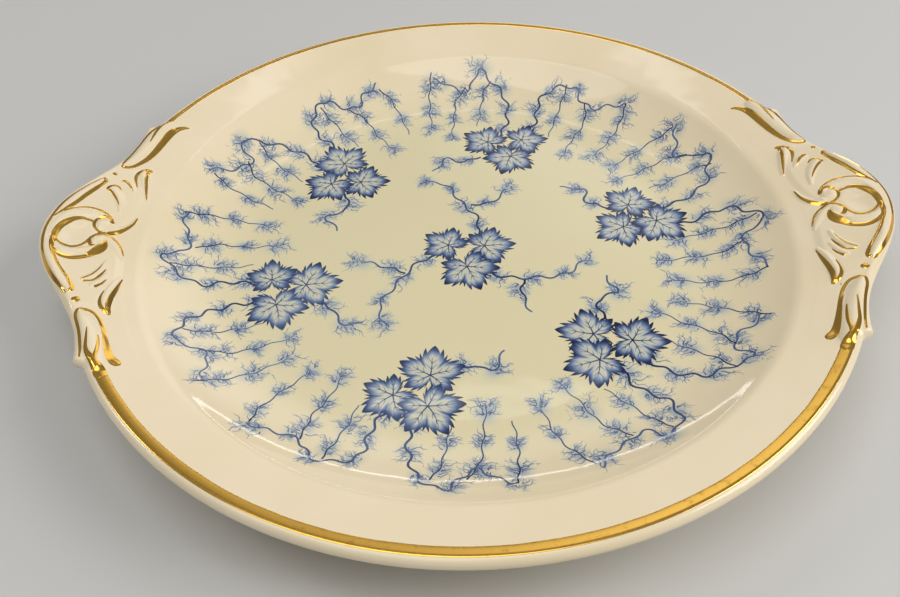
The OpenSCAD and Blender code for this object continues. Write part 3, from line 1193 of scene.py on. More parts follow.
@dataclass(frozen=True)
class ScrollHandle:
    """A tab handle pressed in a mould: bow, scrolls, reeds, leaves and plumes in one clay.

    Everything is drawn for the right handle and mirrored for the left one. Fades and runs are distances
    over which a form grows, and halves are distances along Y from the handle's middle, up to which the
    ornament is free of the plate or lies on its ground.
    """

    form: PlateForm
    side: Side
    tip_r: float
    ceiling: float
    shift_x: float = 0.0
    shift_y: float = 0.0
    back_scale: float = 1.0
    root_r: float = 101.4
    root_run: float = 4.0
    root_fade: Pair = (0.2, 2.6)
    edge_fade: Pair = (0.5, 2.4)
    edge_press: Pair = (0.2, 1.2)
    half_angle: float = 32.0
    end_run: Pair = (3.5, 0.3)
    bow_angle: float = 20.3
    shoulder_angle: float = 26.0
    shoulder_drop: float = 1.6
    shoulder_reach: float = 2.0
    proud: float = 0.03
    sunk: float = 0.07
    merge: float = 4.0
    settle_soft: float = 0.15
    groove: float = 0.11
    groove_share: float = 0.75
    groove_soft: float = 0.35
    groove_full: float = 0.4
    pad_height: float = 0.5
    pad_soft: float = 2.6
    pad_half: float = 34.0
    free_half: float = 38.0
    tied_half: float = 54.0
    brush_step: float = 0.3
    gold_depth: float = 0.25
    film: float = 0.05
    crown: float = 0.1
    crown_w: float = 2.2
    blank_z: float = 20.0
    blank_half: Pair = (8.0, 3.0)
    top_steps: int = 100
    edge_steps: int = 14
    under_steps: int = 24
    turn_steps: int = 420

    SEATS = {Side.RIGHT: {"back_scale": 0.955}, Side.LEFT: {"shift_x": -0.9, "shift_y": -1.6}}
    HEADROOM = 0.35
    ROUNDS = 4
    ACROSS = (-1.0, -0.55, 0.0, 0.55, 1.0)
    PARTS = ("handle", "back_scroll", "front_scroll", "back_reed", "front_reed", "back_leaf", "front_leaf",
             "plumes")

    @classmethod
    def from_frame(cls, form: PlateForm, side: Side) -> "ScrollHandle":
        """Takes the handle's reach and its greatest height from the CAD.

        Args:
            form: The plate's form.
            side: Which handle; the moulds of the two sit a little differently.

        Returns:
            The handle, not yet built.
        """
        _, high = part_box("right_handle")
        sizes = {"tip_r": high.x / MM, "ceiling": CAD_BOX[1][2] / MM - cls.HEADROOM}
        return cls(form, side, **sizes, **cls.SEATS[side])

    @property
    def word(self) -> str:
        """The side's name as the CAD nodes have it."""
        return self.side.name.lower()

    def edge_r(self, angle: Array) -> Array:
        """Gives the outline of bow and shoulders.

        Args:
            angle: Angles from the handle's middle, in degrees.

        Returns:
            Distances of the outline from the plate's axis.
        """
        a = np.where(angle > 0, angle / self.back_scale, -angle)
        rim = self.form.rim_r
        swell = np.cos(np.radians(90 * np.minimum(a / self.bow_angle, 1))) ** 2
        bow = (self.tip_r - self.proud - rim) * swell
        rise = np.clip((a - self.bow_angle) / (self.shoulder_angle - self.bow_angle), 0, 1) ** 2
        fall = 1 - ease(self.shoulder_angle, self.shoulder_angle + self.shoulder_drop, a)
        return rim + bow + self.shoulder_reach * rise * fall

    def relief(self, x: Array, y: Array) -> Array:
        """Gives the mould's relief on the handle's upper face.

        Args:
            x: First coordinates on the right handle.
            y: Second coordinates.

        Returns:
            Heights above the plain rim.
        """
        r = np.hypot(x, y)
        inside = self.edge_r(np.degrees(np.arctan2(y, x))) - r
        root_begin, root_end = self.root_fade
        fade = ease(self.root_r + root_begin, self.root_r + root_end, r) * ease(*self.edge_fade, inside)
        x, y = self.in_mould(x, y)
        total = np.zeros_like(x)
        for form in (*RIDGES, *DOMES):
            total += form.rise(x, y) ** self.merge
        height = total ** (1 / self.merge) + EYE.rise(x, y) + self.pad(x, y)
        return (height - self.groove * self.grooves(x, y)) * fade

    def grooves(self, x: Array, y: Array) -> Array:
        """Gives the grooves that hold the gold lines.

        Args:
            x: First coordinates in the mould.
            y: Second coordinates.

        Returns:
            Shares of the full depth, 0 beside the grooves.
        """
        deep = np.zeros_like(x)
        for line in GILT_LINES.values():
            curve = smooth_line(line, MOULD_STEP) * [1, 1, self.groove_share]
            near = beside(curve, curve[:, 2].max() + self.groove_soft, x, y)
            gap, half, _ = nearest(curve, x[near], y[near])
            hollow = np.clip(1 - (gap / (half + self.groove_soft)) ** 2, 0, 1) ** 2
            deep[near] = np.maximum(deep[near], np.minimum(1, half / self.groove_full) * hollow)
        return deep

    def offset(self, y: Array) -> tuple[Array, Array]:
        """Gives how far the ornament lies from its place in the mould, with none at the handle's ends."""
        free = 1 - ease(self.free_half, self.tied_half, np.abs(y))
        return self.shift_x * free, (self.shift_y + (self.back_scale - 1) * np.maximum(y, 0)) * free

    def in_mould(self, x: Array, y: Array) -> tuple[Array, Array]:
        """Finds, in a few rounds, the places in the mould that made points of the handle.

        Args:
            x: First coordinates on the right handle.
            y: Second coordinates.

        Returns:
            Both coordinates in the mould.
        """
        place = y
        for _ in range(self.ROUNDS):
            place = y - self.offset(place)[1]
        return x - self.offset(place)[0], place

    def pad(self, x: Array, y: Array) -> Array:
        """Gives the soft ground under the ornament, with its scalloped inner edge.

        Args:
            x: First coordinates in the mould.
            y: Second coordinates.

        Returns:
            Heights above the plain rim.
        """
        edge = smooth_line(tuple((*spot, 1.0) for spot in PAD_EDGE), MOULD_STEP)
        inner = np.interp(y, edge[:, 1], edge[:, 0])
        ends = ease(0, 2 * self.pad_soft, self.pad_half - np.abs(y))
        return self.pad_height * ease(0, self.pad_soft, x - inner) * ends

    def settle(self, z: Array) -> Array:
        """Keeps heights softly under the deepest place of the mould."""
        soft = self.settle_soft
        return -soft * np.logaddexp(-z / soft, -self.ceiling / soft)

    def lift(self, x: Array, y: Array) -> Array:
        """Gives how far the handle's skin stands off the plain rim: sunk at its root, proud elsewhere.

        Args:
            x: First coordinates on the right handle.
            y: Second coordinates.

        Returns:
            Heights, below zero where the skin is sunk.
        """
        angle = np.abs(np.degrees(np.arctan2(y, x)))
        inwards = ease(self.root_r, self.root_r + self.root_run, np.hypot(x, y))
        begin, end = self.end_run
        along = 1 - ease(self.half_angle - begin, self.half_angle - end, angle)
        return -self.sunk + (self.sunk + self.proud) * np.minimum(inwards, along)

    def top(self, x: Array, y: Array) -> Array:
        """Gives the finished upper face, rounded off at its edge.

        Args:
            x: First coordinates on the right handle.
            y: Second coordinates.

        Returns:
            Heights above the table.
        """
        form = self.form
        r = np.hypot(x, y)
        centre = self.edge_r(np.degrees(np.arctan2(y, x))) - form.lip_r
        flat_end = centre - form.lip_r * math.sin(form.rim_slope)
        round_off = form.rim_middle(centre) + np.sqrt(np.maximum(form.lip_r**2 - (r - centre) ** 2, 0))
        plain = np.where(r <= flat_end, form.skin_z(r, Skin.TOP), round_off)
        return self.settle(plain + self.lift(x, y) + self.relief(x, y)) + form.warp(self.side.value * x, y)

    def blank(self) -> Array:
        """Draws the section of the unpressed blank.

        Returns:
            Rows of radius and height, one for each row of the finished section.
        """
        count = self.top_steps + self.edge_steps + self.under_steps
        turn = np.linspace(0, math.tau, count, endpoint=False)
        return [self.form.rim_r, self.blank_z] + self.blank_half * toward(turn)

    def press(self, angle: Array, order: Array) -> Array:
        """Presses the blank's points into the mould.

        Args:
            angle: Angles of the points from the handle's middle, in radians.
            order: Places of the points in the section.

        Returns:
            Points of the finished handle, on the right side of the plate.
        """
        form = self.form
        lean = math.sin(form.rim_slope)
        centre = self.edge_r(np.degrees(angle)) - form.lip_r
        step_edge = self.top_steps
        step_under = self.top_steps + self.edge_steps
        on_top = order < step_edge
        on_edge = (order >= step_edge) & (order < step_under)
        round_r = form.lip_r + self.lift(centre * np.cos(angle), centre * np.sin(angle))
        t_top = order / (self.top_steps - 1)
        r_top = self.root_r + t_top * (centre - form.lip_r * lean - self.root_r)
        bend = math.pi / 2 + form.rim_slope - math.pi * (order - step_edge + 1) / (self.edge_steps + 1)
        t_under = 1 - (order - step_under) / (self.under_steps - 1)
        r_under = self.root_r + t_under * (centre + round_r * lean - self.root_r)
        r = np.select([on_top, on_edge], [r_top, centre + round_r * np.cos(bend)], r_under)
        x = r * np.cos(angle)
        y = r * np.sin(angle)
        pressed = self.relief(x, y)
        upper = ease(*self.edge_press, np.sin(bend))
        z_top = form.skin_z(r, Skin.TOP) + self.lift(x, y) + pressed
        z_edge = form.rim_middle(centre) + round_r * np.sin(bend) + pressed * upper
        z_under = form.skin_z(r, Skin.UNDER) - self.lift(x, y)
        z = np.select([on_top, on_edge], [self.settle(z_top), self.settle(z_edge)], z_under)
        return np.column_stack([x, y, z])

    def place(self, points: Array) -> Array:
        """Sets points of the right handle on this handle's side and warps them with the plate.

        Args:
            points: Rows of millimetres.

        Returns:
            Rows in their final places.
        """
        placed = points * [self.side.value, 1, 1]
        placed[:, 2] += self.form.warp(placed[:, 0], placed[:, 1])
        return placed

    def build(self, finishes: Finishes) -> None:
        """Spins a blank through the handle's angle and presses it.

        Args:
            finishes: The plate's materials.
        """
        half = math.radians(self.half_angle)
        handle = section_ring(f"{self.word}_scroll_handle", self.blank(), -half)
        spin(handle, 2 * half, self.turn_steps)
        blank = get_points(handle)
        angle = np.arctan2(blank[:, 1], blank[:, 0])
        set_points(handle, self.place(self.press(angle, section_order(handle))))
        with editing(handle):
            bpy.ops.mesh.normals_make_consistent(inside=False)
        dress(handle, "porcelain", tuple(f"{self.word}_{part}" for part in self.PARTS), finishes.glaze)

    def gild(self, finishes: Finishes) -> None:
        """Brushes the gold lines on the relief, all as one piece.

        Args:
            finishes: The plate's materials.
        """
        sheet = Sheet()
        for line in GILT_LINES.values():
            points, faces = ribbon(round_ends(smooth_line(line, self.brush_step)), self.ACROSS)
            sheet.add(points, faces, np.ones(len(points)))
        points, faces, _ = sheet.drawn()
        x, y, bulge = points.T
        off_x, off_y = self.offset(y)
        x = x + off_x
        y = y + off_y
        raised = self.film + self.crown * np.minimum(bulge, self.crown_w)
        z = self.top(x, y) - np.minimum(self.lift(x, y), 0) + raised
        rows = np.column_stack([self.side.value * x, y, z])
        lines = sheet_piece(f"{self.word}_handle_gilding", rows, faces[:, :: self.side.value])
        thicken(lines, self.gold_depth)
        dress(lines, "gilding", (), finishes.gold)


@dataclass(frozen=True)
class RimBand:
    """A band of gold round the lip, from one handle's leaf to the other's."""

    form: PlateForm
    arc: Arc
    inner_w: float = 2.6
    outer_lip: float = math.radians(78.0)
    end_angle: float = 29.2
    height: float = 0.07
    bury: float = 0.08
    edge_sink: float = 0.03
    waver: float = 0.05
    waves: Knots = ((23, 0.0), (41, 1.0), (67, 2.0))
    lip_steps: int = 7
    flat_steps: int = 6
    turn_steps: int = 300

    def section(self) -> Array:
        """Draws the band's section: a crowned film over the lip, with its back buried in the glaze.

        Returns:
            Rows of radius and height round the section.
        """
        form = self.form
        slope = form.rim_slope
        out = toward(np.linspace(self.outer_lip, math.pi / 2 + slope, self.lip_steps))
        seat = np.array(form.lip_at) + form.lip_r * out
        along = np.linspace(0.0, self.inner_w, self.flat_steps)[1:]
        flat = seat[-1] - along[:, None] * [math.cos(slope), math.sin(slope)]
        line = np.vstack([seat, flat])
        normal = np.vstack([out, np.repeat(out[-1:], len(flat), axis=0)])
        share = np.linspace(-1, 1, len(line))
        crown = self.height * (1 - share**4) - self.edge_sink * share**4
        return np.vstack([line + normal * crown[:, None], (line - normal * self.bury)[::-1]])

    def build(self, finishes: Finishes) -> None:
        """Spins the band and lets its inner edge waver as a brushed line does.

        Args:
            finishes: The plate's materials.
        """
        word = self.arc.name.lower()
        end = math.radians(self.end_angle)
        band = section_ring(f"{word}_rim_gilding", self.section(), end - self.arc.value)
        spin(band, math.pi - 2 * end, self.turn_steps)
        points = get_points(band)
        angle = np.arctan2(points[:, 1], points[:, 0])
        inward = ease(0, self.inner_w, self.form.lip_at[0] - np.hypot(points[:, 0], points[:, 1]))
        shift = self.waver * inward * sum(np.sin(count * angle + phase) for count, phase in self.waves) / 2
        points[:, :2] += shift[:, None] * toward(angle)
        points[:, 2] += shift * math.tan(self.form.rim_slope)
        points[:, 2] += self.form.warp(points[:, 0], points[:, 1])
        set_points(band, points)
        dress(band, "gilding", (f"gilt_band_{word}",), finishes.gold)


@dataclass(frozen=True)
class Pen:
    """A kind of printed stroke.

    Attributes:
        height: Height above what it is drawn on.
        thick: Width at its start.
        dark: Darkness at its start.
        taper: Share of the width that is gone at its end.
        fade: Share of the darkness that is gone at its end.
        across: Places across the stroke that have a point.
    """

    height: float
    thick: float
    dark: float
    taper: float = 0.6
    fade: float = 0.35
    across: tuple[float, ...] = (-1.0, 1.0)

    @classmethod
    def stem(cls, thick: float) -> "Pen":
        """Gives the pen for a stem of some width."""
        return cls(0.034, thick, 1.0, taper=0.25, across=(-1.0, 0.0, 1.0))


@dataclass
class VinePrint:
    """A printed vine of the builder's own drawing: a spray in the well and a ring of sprays on the side.

    Each spray has three lobed leaves, and thin stems and tails that carry feathery tufts. Knots of a stem
    are distances from the plate's axis and angles in degrees. The sways are those of the stems in the
    middle, of the stems round it and of the tails. Most pairs are the ends between which a number is drawn,
    and shares are parts of the size of the leaf or tuft.
    """

    form: PlateForm
    sprays: int = 6
    ring_r: float = 58.0
    first_angle: float = 14.0
    centre_turn: float = 25.0
    spray_turn: Pair = (-30, 30)
    leaves: int = 3
    leaf_r: float = 10.6
    leaf_gap: float = 6.6
    leaf_stray: Pair = (-14, 14)
    leaf_share: Pair = (0.88, 1.1)
    leaf_aim: Pair = (-40, 40)
    lobes: Knots = ((0, 1.0), (64, 0.94), (-64, 0.94), (126, 0.76), (-126, 0.76))
    lobe_half: float = 34.0
    lobe_round: float = 0.3
    tooth_turn: float = 13.0
    tooth_reach: float = 0.22
    leaf_rings: int = 13
    leaf_points: int = 228
    pale: float = 0.15
    edge_from: float = 1.0
    edge_to: float = 3.6
    flame: Pair = (0.0, 2.4)
    cleft_dark: float = 0.8
    cleft_half: float = 0.5
    cleft_run: Pair = (0.25, 0.7)
    vein_bend: Pair = (-0.25, 0.25)
    vein_share: Pair = (0.56, 0.7)
    side_veins: tuple[tuple[int, int], ...] = ((2, 1), (2, -1), (4, 1), (4, -1))
    side_vein_turn: Pair = (0.5, 0.8)
    side_vein_share: Pair = (0.16, 0.28)
    tuft_r: float = 5.9
    tuft_share: Pair = (0.72, 1.05)
    tuft_gap: float = 10.5
    wash_dark: float = 0.25
    wash_fall: float = 1.8
    wash_half: Pair = (1.05, 0.8)
    wash_points: int = 14
    wash_rings: int = 5
    hairs: int = 16
    hair_start: Pair = (-0.5, 0.5)
    hair_turn: Pair = (0.45, 1.45)
    hair_waves: Pair = (0.8, 1.4)
    hair_swing: Pair = (0.5, 0.95)
    hair_share: Pair = (0.55, 1.0)
    twigs: int = 2
    twig_turn: Pair = (0.5, 1.0)
    twig_share: Pair = (0.2, 0.42)
    twig_bend: Pair = (-1.3, 1.3)
    stem_step: float = 0.7
    knot_stray: Pair = (-1.5, 1.5)
    meander: Pair = (7.0, 9.0)
    meander_run: float = 4.0
    sway: Triple = (0.7, 0.8, 0.35)
    draw: random.Random = field(default_factory=lambda: random.Random(41))
    strokes: int = 0

    WASH_HEIGHT = 0.010
    LEAF_HEIGHT = 0.047
    LEAF_STEP = 0.02
    LAYER = 0.0005
    LAYERS = 23
    DEPTH = 0.12
    ALONG = np.linspace(0, 1, 7)
    ROUND = (0, math.tau)
    STEM = Pen.stem(0.74)
    CENTRE_STEM = Pen.stem(0.7)
    TAIL = Pen.stem(0.46)
    HAIR = Pen(0.022, 0.36, 0.78, fade=0.72)
    TWIG = Pen(0.022, 0.28, 0.46, fade=0.72)
    VEIN = Pen(0.004, 0.44, 0.95)
    SIDE_VEIN = Pen(0.004, 0.28, 0.8)
    CENTRE_STEMS = (
        ((9, 60), (18, 76), (26, 92), (34, 100), (39, 112)),
        ((22, 84), (27, 70), (33, 64)),
    )
    STEMS = (
        ((63, 3), (74, 2), (84, 4), (90, 7), (93, 11), (88, 13), (86, 16), (90, 19), (93, 22)),
        ((63, -4), (73, -6), (84, -5), (90, -8), (93, -12), (88, -14), (87, -18), (90, -21), (92, -25)),
        ((51, 8), (46, 15), (49, 22), (44, 29)),
    )
    TAILS = (
        ((91, 8), (84, 9.5), (76, 10), (68, 10.5)),
        ((88, 14), (81, 16.5), (72, 17.5), (61, 19)),
        ((93, 22), (86, 23), (77, 24), (68, 24.5)),
        ((92, -10), (85, -10.5), (76, -11), (68, -12)),
        ((87, -16), (79, -18.5), (70, -19), (59, -21)),
        ((92, -25), (84, -27), (75, -28), (66, -28)),
    )

    def between(self, ends: Pair) -> float:
        """Draws a random number between two ends."""
        return self.draw.uniform(*ends)

    def height(self, base: float) -> float:
        """Gives the next stroke's height, a little off those before it, so that they don't share a plane."""
        self.strokes += 1
        return base + self.LAYER * (self.strokes % self.LAYERS)

    def patch(self, ink: Sheet, x: Array, y: Array, height: float, dark: Array) -> None:
        """Adds a patch whose points lie in rings, one row for each ring.

        Args:
            ink: Sheet to draw on.
            x: First coordinates.
            y: Second coordinates.
            height: Height above the glaze.
            dark: Darkness of the points.
        """
        rings, n = x.shape
        ring, spot = np.meshgrid(np.arange(rings - 1), np.arange(n), indexing="ij")
        after = (spot + 1) % n
        corners = [ring * n + spot, (ring + 1) * n + spot, (ring + 1) * n + after, ring * n + after]
        points = np.column_stack([x.ravel(), y.ravel(), np.full(x.size, height)])
        ink.add(points, np.stack(corners, axis=-1).reshape(-1, 4), np.clip(dark, 0, 1).ravel())

    def stroke(self, ink: Sheet, path: Array, pen: Pen, base: float = 0.0) -> None:
        """Draws a tapering stem, hair or vein.

        Args:
            ink: Sheet to draw on.
            path: Rows of x and y.
            pen: Kind of stroke.
            base: Height of what it is drawn on above the glaze.
        """
        t = np.linspace(0, 1, len(path))
        points, faces = ribbon(np.column_stack([path, pen.thick * (1 - pen.taper * t)]), pen.across)
        points[:, 2] = base + self.height(pen.height)
        ink.add(points, faces, (pen.dark * (1 - pen.fade * t)).repeat(len(pen.across)))

    def leaf_outline(self, angle: Array, tooth_reach: float) -> Array:
        """Gives the outline of a lobed leaf, as a share of its size.

        Args:
            angle: Angles from the leaf's tip, in degrees from -180 to 180.
            tooth_reach: Depth of the notches between its teeth.

        Returns:
            Distances from the leaf's middle.
        """
        outline = np.zeros_like(angle)
        for turn, reach in self.lobes:
            off = np.abs((angle - turn + 180) % 360 - 180)
            notch = tooth_reach * ((off / self.tooth_turn) % 1.0)
            lobe = reach * (1 - self.lobe_round * (off / self.lobe_half) ** 2 - notch)
            outline = np.maximum(outline, lobe)
        return outline

    def leaf(self, ink: Sheet, middle: Array, heading: float, size: float, height: float) -> None:
        """Draws a leaf with dark teeth, pale lobes and short veins.

        Args:
            ink: Sheet to draw on.
            middle: The leaf's middle, as x and y.
            heading: Direction of its tip, in radians.
            size: Distance from its middle to its tip.
            height: Height above the glaze.
        """
        n = self.leaf_points
        angle = np.linspace(-180, 180, n, endpoint=False)
        share = np.linspace(0.02, 1.0, self.leaf_rings)[:, None]
        reach = share * size * self.leaf_outline(angle, self.tooth_reach)
        depth = size * self.leaf_outline(angle, 0.0) - reach
        flames = np.array([self.between(self.flame) for _ in range(n // 3)]).repeat(3)
        flames = (flames + np.roll(flames, 1) + np.roll(flames, 2)) / 3
        dark = self.pale + (1 - self.pale) * (1 - ease(self.edge_from, self.edge_to + flames, depth))
        turns = sorted(turn for turn, _ in self.lobes)
        for first, second in zip(turns, turns[1:]):
            gap = np.radians(np.abs(angle - (first + second) / 2)) * reach
            cleft = np.exp(-((gap / self.cleft_half) ** 2)) * ease(*self.cleft_run, share)
            dark = np.maximum(dark, self.cleft_dark * cleft)
        way = heading + np.radians(angle)
        self.patch(ink, middle[0] + reach * np.cos(way), middle[1] + reach * np.sin(way), height, dark)
        for turn, lobe in self.lobes:
            self.vein(ink, middle, heading + math.radians(turn), lobe * size, height)

    def vein(self, ink: Sheet, root: Array, heading: float, size: float, height: float) -> None:
        """Draws the vein of one lobe with its side veins.

        Args:
            ink: Sheet to draw on.
            root: Middle of the leaf.
            heading: Direction of the lobe's tip, in radians.
            size: Distance from the leaf's middle to the lobe's tip.
            height: Height of the leaf above the glaze.
        """
        t = self.ALONG
        way = heading + self.between(self.vein_bend) * (t - 0.5)
        length = size * self.between(self.vein_share)
        path = root + length * t[:, None] * toward(way)
        self.stroke(ink, path, self.VEIN, height)
        for place, side in self.side_veins:
            turn = way[place] + side * self.between(self.side_vein_turn)
            reach = size * self.between(self.side_vein_share)
            twig = path[place] + reach * t[::2, None] * [math.cos(turn), math.sin(turn)]
            self.stroke(ink, twig, self.SIDE_VEIN, height)

    def tuft(self, ink: Sheet, spot: Array, heading: float, size: float) -> None:
        """Draws a feathery tuft: a pale wash, with fine wavy hairs on both sides of the stem.

        Args:
            ink: Sheet to draw on.
            spot: Its middle, as x and y.
            heading: Direction of the stem, in radians.
            size: Length of the longest hairs.
        """
        ahead = np.array([math.cos(heading), math.sin(heading)])
        self.wash(ink, spot, ahead, size)
        t = self.ALONG
        for k in range(self.hairs):
            side = 1 if k % 2 else -1
            start = size * self.between(self.hair_start)
            course = heading + side * self.between(self.hair_turn)
            waves = math.tau * self.between(self.hair_waves)
            swing = self.between(self.hair_swing)
            way = course + swing * np.sin(waves * t + self.between(self.ROUND))
            step = size * self.between(self.hair_share) / (len(t) - 1)
            path = np.cumsum(step * toward(way), axis=0) + (spot + start * ahead)
            self.stroke(ink, path, self.HAIR)
            for twig in range(self.twigs):
                place = self.draw.randrange(1, len(t) - 2)
                turn = way[place] + (1 if (k + twig) % 2 else -1) * self.between(self.twig_turn)
                reach = size * self.between(self.twig_share)
                bow = turn + self.between(self.twig_bend) * t[::2]
                self.stroke(ink, path[place] + reach * t[::2, None] * toward(bow), self.TWIG)

    def wash(self, ink: Sheet, spot: Array, ahead: Array, size: float) -> None:
        """Draws the pale bloom that the ink leaves round a tuft.

        Args:
            ink: Sheet to draw on.
            spot: Its middle, as x and y.
            ahead: Unit step along the stem.
            size: Length of the tuft's longest hairs.
        """
        turn = np.linspace(0, math.tau, self.wash_points, endpoint=False)
        share = np.linspace(0.04, 1.0, self.wash_rings)[:, None]
        along = self.wash_half[0] * size * share * np.cos(turn)
        aside = self.wash_half[1] * size * share * np.sin(turn)
        x = spot[0] + along * ahead[0] - aside * ahead[1]
        y = spot[1] + along * ahead[1] + aside * ahead[0]
        dark = self.wash_dark * (1 - share**2) ** self.wash_fall * np.ones_like(turn)
        self.patch(ink, x, y, self.height(self.WASH_HEIGHT), dark)

    def stem(self, ink: Sheet, knots: Knots, at: float, pen: Pen, sway: float) -> None:
        """Draws a stem or tail with its tufts.

        Args:
            ink: Sheet to draw on.
            knots: Distances from the plate's axis, and angles in degrees, that it passes.
            at: Angle in degrees that is added to those of the knots.
            pen: Kind of stroke.
            sway: How far it meanders to either side.
        """
        spots = []
        for r, angle in knots:
            r += self.between(self.knot_stray)
            turn = math.radians(at + angle)
            spots.append((r * math.cos(turn), r * math.sin(turn), 1.0))
        path = smooth_line(tuple(spots), self.stem_step)[:, :2]
        run = unit_run(path)
        t = np.arange(len(path)) * self.stem_step
        wave = np.sin(math.tau * t / self.between(self.meander) + self.between(self.ROUND))
        path = path + to_left(run) * (sway * wave * ease(0, self.meander_run, t))[:, None]
        self.stroke(ink, path, pen)
        gap = round(self.tuft_gap / self.stem_step)
        for place in range(gap // 2, len(path), gap):
            size = self.tuft_r * self.between(self.tuft_share)
            self.tuft(ink, path[place], math.atan2(run[place, 1], run[place, 0]), size)

    def cluster(self, ink: Sheet, r: float, angle: float, turn: float) -> None:
        """Draws the leaves round one place.

        Args:
            ink: Sheet to draw on.
            r: Distance of the place from the plate's axis.
            angle: Its angle in degrees.
            turn: Direction of the first leaf, in degrees.
        """
        x = r * math.cos(math.radians(angle))
        y = r * math.sin(math.radians(angle))
        for k in range(self.leaves):
            heading = math.radians(turn + 360 / self.leaves * k + self.between(self.leaf_stray))
            size = self.leaf_r * self.between(self.leaf_share)
            aim = heading + math.radians(self.between(self.leaf_aim))
            middle = np.array([x + self.leaf_gap * math.cos(heading), y + self.leaf_gap * math.sin(heading)])
            self.leaf(ink, middle, aim, size, self.LEAF_HEIGHT + self.LEAF_STEP * k)

    def lay(self, name: str, ink: Sheet, finishes: Finishes) -> None:
        """Lays a drawn spray on the glaze.

        Args:
            name: Name of the piece.
            ink: Sheet with the spray.
            finishes: The plate's materials.
        """
        points, faces, shade = ink.drawn()
        points[:, 2] += self.form.top(points[:, 0], points[:, 1])
        spray = sheet_piece(name, points, faces)
        tone = spray.data.attributes.new("ink", "FLOAT", "POINT")
        tone.data.foreach_set("value", shade.astype(np.float32))
        thicken(spray, self.DEPTH)
        dress(spray, "porcelain", (), finishes.ink)

    def build(self, finishes: Finishes) -> None:
        """Draws the spray in the middle and then the ring of sprays.

        Args:
            finishes: The plate's materials.
        """
        middle = Sheet()
        for k in range(self.leaves):
            for knots in self.CENTRE_STEMS:
                self.stem(middle, knots, 360 / self.leaves * k, self.CENTRE_STEM, self.sway[0])
        self.cluster(middle, 0.0, 0.0, self.centre_turn)
        self.lay("vine_print_centre", middle, finishes)
        for k in range(self.sprays):
            at = self.first_angle + 360 / self.sprays * k
            ink = Sheet()
            for knots in self.STEMS:
                self.stem(ink, knots, at, self.STEM, self.sway[1])
            for knots in self.TAILS:
                self.stem(ink, knots, at, self.TAIL, self.sway[2])
            self.cluster(ink, self.ring_r, at, at + 180 + self.between(self.spray_turn))
            self.lay(f"vine_print_{k + 1}", ink, finishes)


@dataclass(frozen=True)
class Softbox:
    """A rectangular studio lamp, aimed at the plate.

    Attributes:
        name: Name of the lamp.
        place: Where it stands, in metres.
        wide: Its width in metres.
        deep: Its depth in metres.
        power: Its power in watts.
        tint: Its colour.
    """

    name: str
    place: Triple
    wide: float
    deep: float
    power: float
    tint: Triple = (1.0, 0.98, 0.95)

    AIM = Vector((0, 0, 0.015))

    def light(self) -> None:
        """Hangs and aims the lamp."""
        lamp = bpy.data.lights.new(self.name, "AREA")
        lamp.shape = "RECTANGLE"
        lamp.size = self.wide
        lamp.size_y = self.deep
        lamp.energy = self.power
        lamp.color = self.tint
        hung = bpy.data.objects.new(self.name, lamp)
        bpy.context.collection.objects.link(hung)
        turn = (self.AIM - Vector(self.place)).to_track_quat("-Z", "Y")
        hung.matrix_world = Matrix.Translation(self.place) @ turn.to_matrix().to_4x4()


@dataclass(frozen=True)
class Studio:
    """Pale floor, even surroundings with one soft glow behind the plate, and soft lamps."""

    floor_size: float = 8.0
    floor_colour: Colour = rgb(206, 206, 204)
    floor_matt: float = 0.85
    sky_colour: Colour = rgb(236, 237, 240)
    sky_levels: Pair = (0.17, 0.38)
    glow: float = 1.25
    glow_way: Triple = (0.212, 0.849, 0.485)
    glow_spread: float = math.radians(17.0)
    lamps: tuple[Softbox, ...] = (
        Softbox("top_softbox", (-0.25, -0.25, 1.5), 1.2, 1.2, 7.9),
        Softbox("back_strip", (-0.02, 0.74, 1.0), 0.5, 0.03, 0.08),
        Softbox("left_softbox", (-0.9, 0.2, 0.8), 0.16, 0.3, 0.9),
        Softbox("right_softbox", (1.0, -0.2, 0.7), 0.75, 0.75, 8.6, (1.0, 0.97, 0.93)),
        Softbox("low_strip", (0.0, 1.3, 0.22), 1.4, 0.03, 0.6),
    )

    def lay_floor(self) -> None:
        """Lays the floor that the plate stands on."""
        bpy.ops.object.select_all(action="DESELECT")
        bpy.ops.mesh.primitive_plane_add(size=self.floor_size)
        floor = bpy.context.active_object
        floor.name = "studio_floor"
        matt = Shader("studio_floor").finish(Base_Color=self.floor_colour, Roughness=self.floor_matt)
        floor.data.materials.append(matt)

    def light_sky(self) -> None:
        """Lights the surroundings, brighter towards the zenith and in the glow."""
        world = bpy.data.worlds.new("studio_sky")
        world.use_nodes = True
        nodes = Nodes(world.node_tree)
        way = nodes.add("TexCoord").outputs["Generated"]
        height = nodes.add("SeparateXYZ", {"Vector": way}).outputs["Z"]
        near = nodes.add("VectorMath", {0: way, 1: self.glow_way}, operation="DOT_PRODUCT").outputs["Value"]
        edge = math.cos(self.glow_spread)
        glow = nodes.span(near, (0.0, self.glow), begin=edge, kind="SMOOTHSTEP")
        sky = world.node_tree.nodes["Background"].inputs
        nodes.feed(sky["Color"], self.sky_colour)
        nodes.feed(sky["Strength"], nodes.sum("ADD", nodes.span(height, self.sky_levels), glow))
        bpy.context.scene.world = world

    def build(self) -> None:
        """Lays the floor and lights the plate."""
        self.lay_floor()
        self.light_sky()
        for lamp in self.lamps:
            lamp.light()


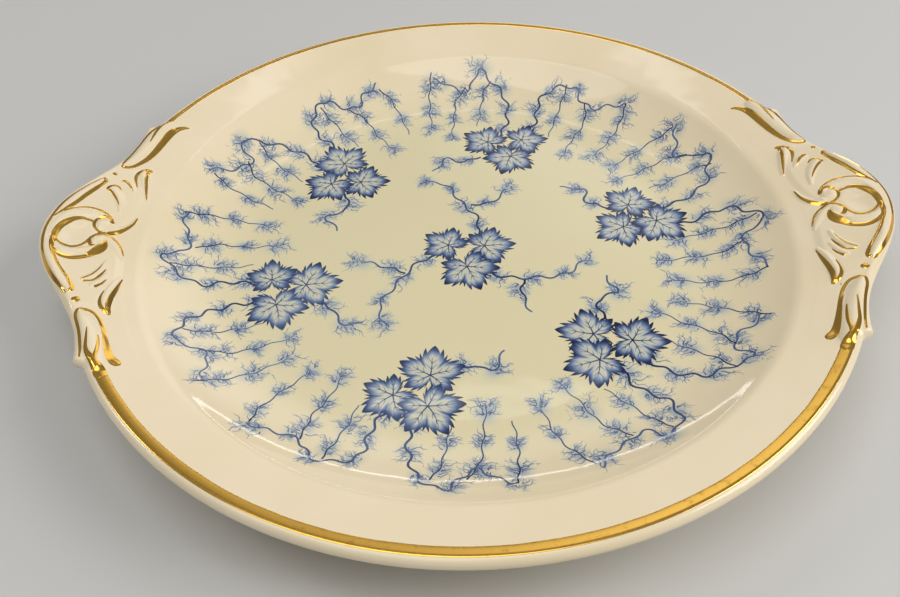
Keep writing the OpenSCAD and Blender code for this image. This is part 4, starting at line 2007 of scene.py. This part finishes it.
@dataclass(frozen=True)
class PhotoCamera:
    """The photograph's camera, as solved from the rim's circle and the two handles.

    Attributes:
        rim_top: Height of the rim in metres.
        frame_wide: Width of the picture in pixels.
        frame_high: Its height.
        focal: Focal length in pixels.
        target_u: Column of the rim's centre in the picture.
        target_v: Row of the rim's centre.
        distance: Distance from the rim's centre, in metres.
        elevation: Angle above the horizon.
        azimuth: Angle round the plate.
        roll: Turn about the line of sight.
    """

    rim_top: float
    frame_wide: float = 900.0
    frame_high: float = 597.0
    focal: float = 981.2
    target_u: float = 465.6
    target_v: float = 216.8
    distance: float = 0.3026
    elevation: float = 0.70796
    azimuth: float = -0.02286
    roll: float = 0.02087

    SENSOR = 36.0
    CLIP = (0.01, 50.0)

    def build(self) -> None:
        """Sets up the camera and makes it the scene's."""
        level = math.cos(self.elevation)
        aside = math.sin(self.azimuth) * level
        back = Vector((aside, -math.cos(self.azimuth) * level, math.sin(self.elevation)))
        right = (-back).cross(Vector((0, 0, 1))).normalized()
        seen = Matrix((right, right.cross(-back), -back))
        off_x = (self.target_u - self.frame_wide / 2) / self.focal
        off_y = -(self.target_v - self.frame_high / 2) / self.focal
        swing = Vector((0, 0, 1)).rotation_difference(Vector((off_x, off_y, 1))).to_matrix()
        rows = swing @ Matrix.Rotation(self.roll, 3, "Z") @ seen
        data = bpy.data.cameras.new("photo_camera")
        data.sensor_width = self.SENSOR
        data.lens = self.focal / self.frame_wide * data.sensor_width
        data.clip_start, data.clip_end = self.CLIP
        camera = bpy.data.objects.new("photo_camera", data)
        bpy.context.collection.objects.link(camera)
        axes = Matrix((rows[0], rows[1], -rows[2])).transposed().to_4x4()
        camera.matrix_world = Matrix.Translation(back * self.distance + Vector((0, 0, self.rim_top))) @ axes
        bpy.context.scene.camera = camera


def main() -> None:
    """Builds the plate piece by piece and sets the studio round it."""
    logging.basicConfig(level=logging.INFO, format="%(name)s: %(message)s")
    bpy.context.scene.view_settings.view_transform = "Standard"
    form = PlateForm.from_frame()
    finishes = Finishes.mixed()
    GlazedBody(form).build(finishes)
    FootRing(form).build(finishes)
    for side in Side:
        handle = ScrollHandle.from_frame(form, side)
        handle.build(finishes)
        handle.gild(finishes)
    RimBand(form, Arc.BACK, inner_w=0.9, outer_lip=math.radians(90.0)).build(finishes)
    RimBand(form, Arc.FRONT).build(finishes)
    VinePrint(form).build(finishes)
    Studio().build()
    PhotoCamera(rim_top=form.rim_top * MM).build()


if __name__ == "__main__":
    main()
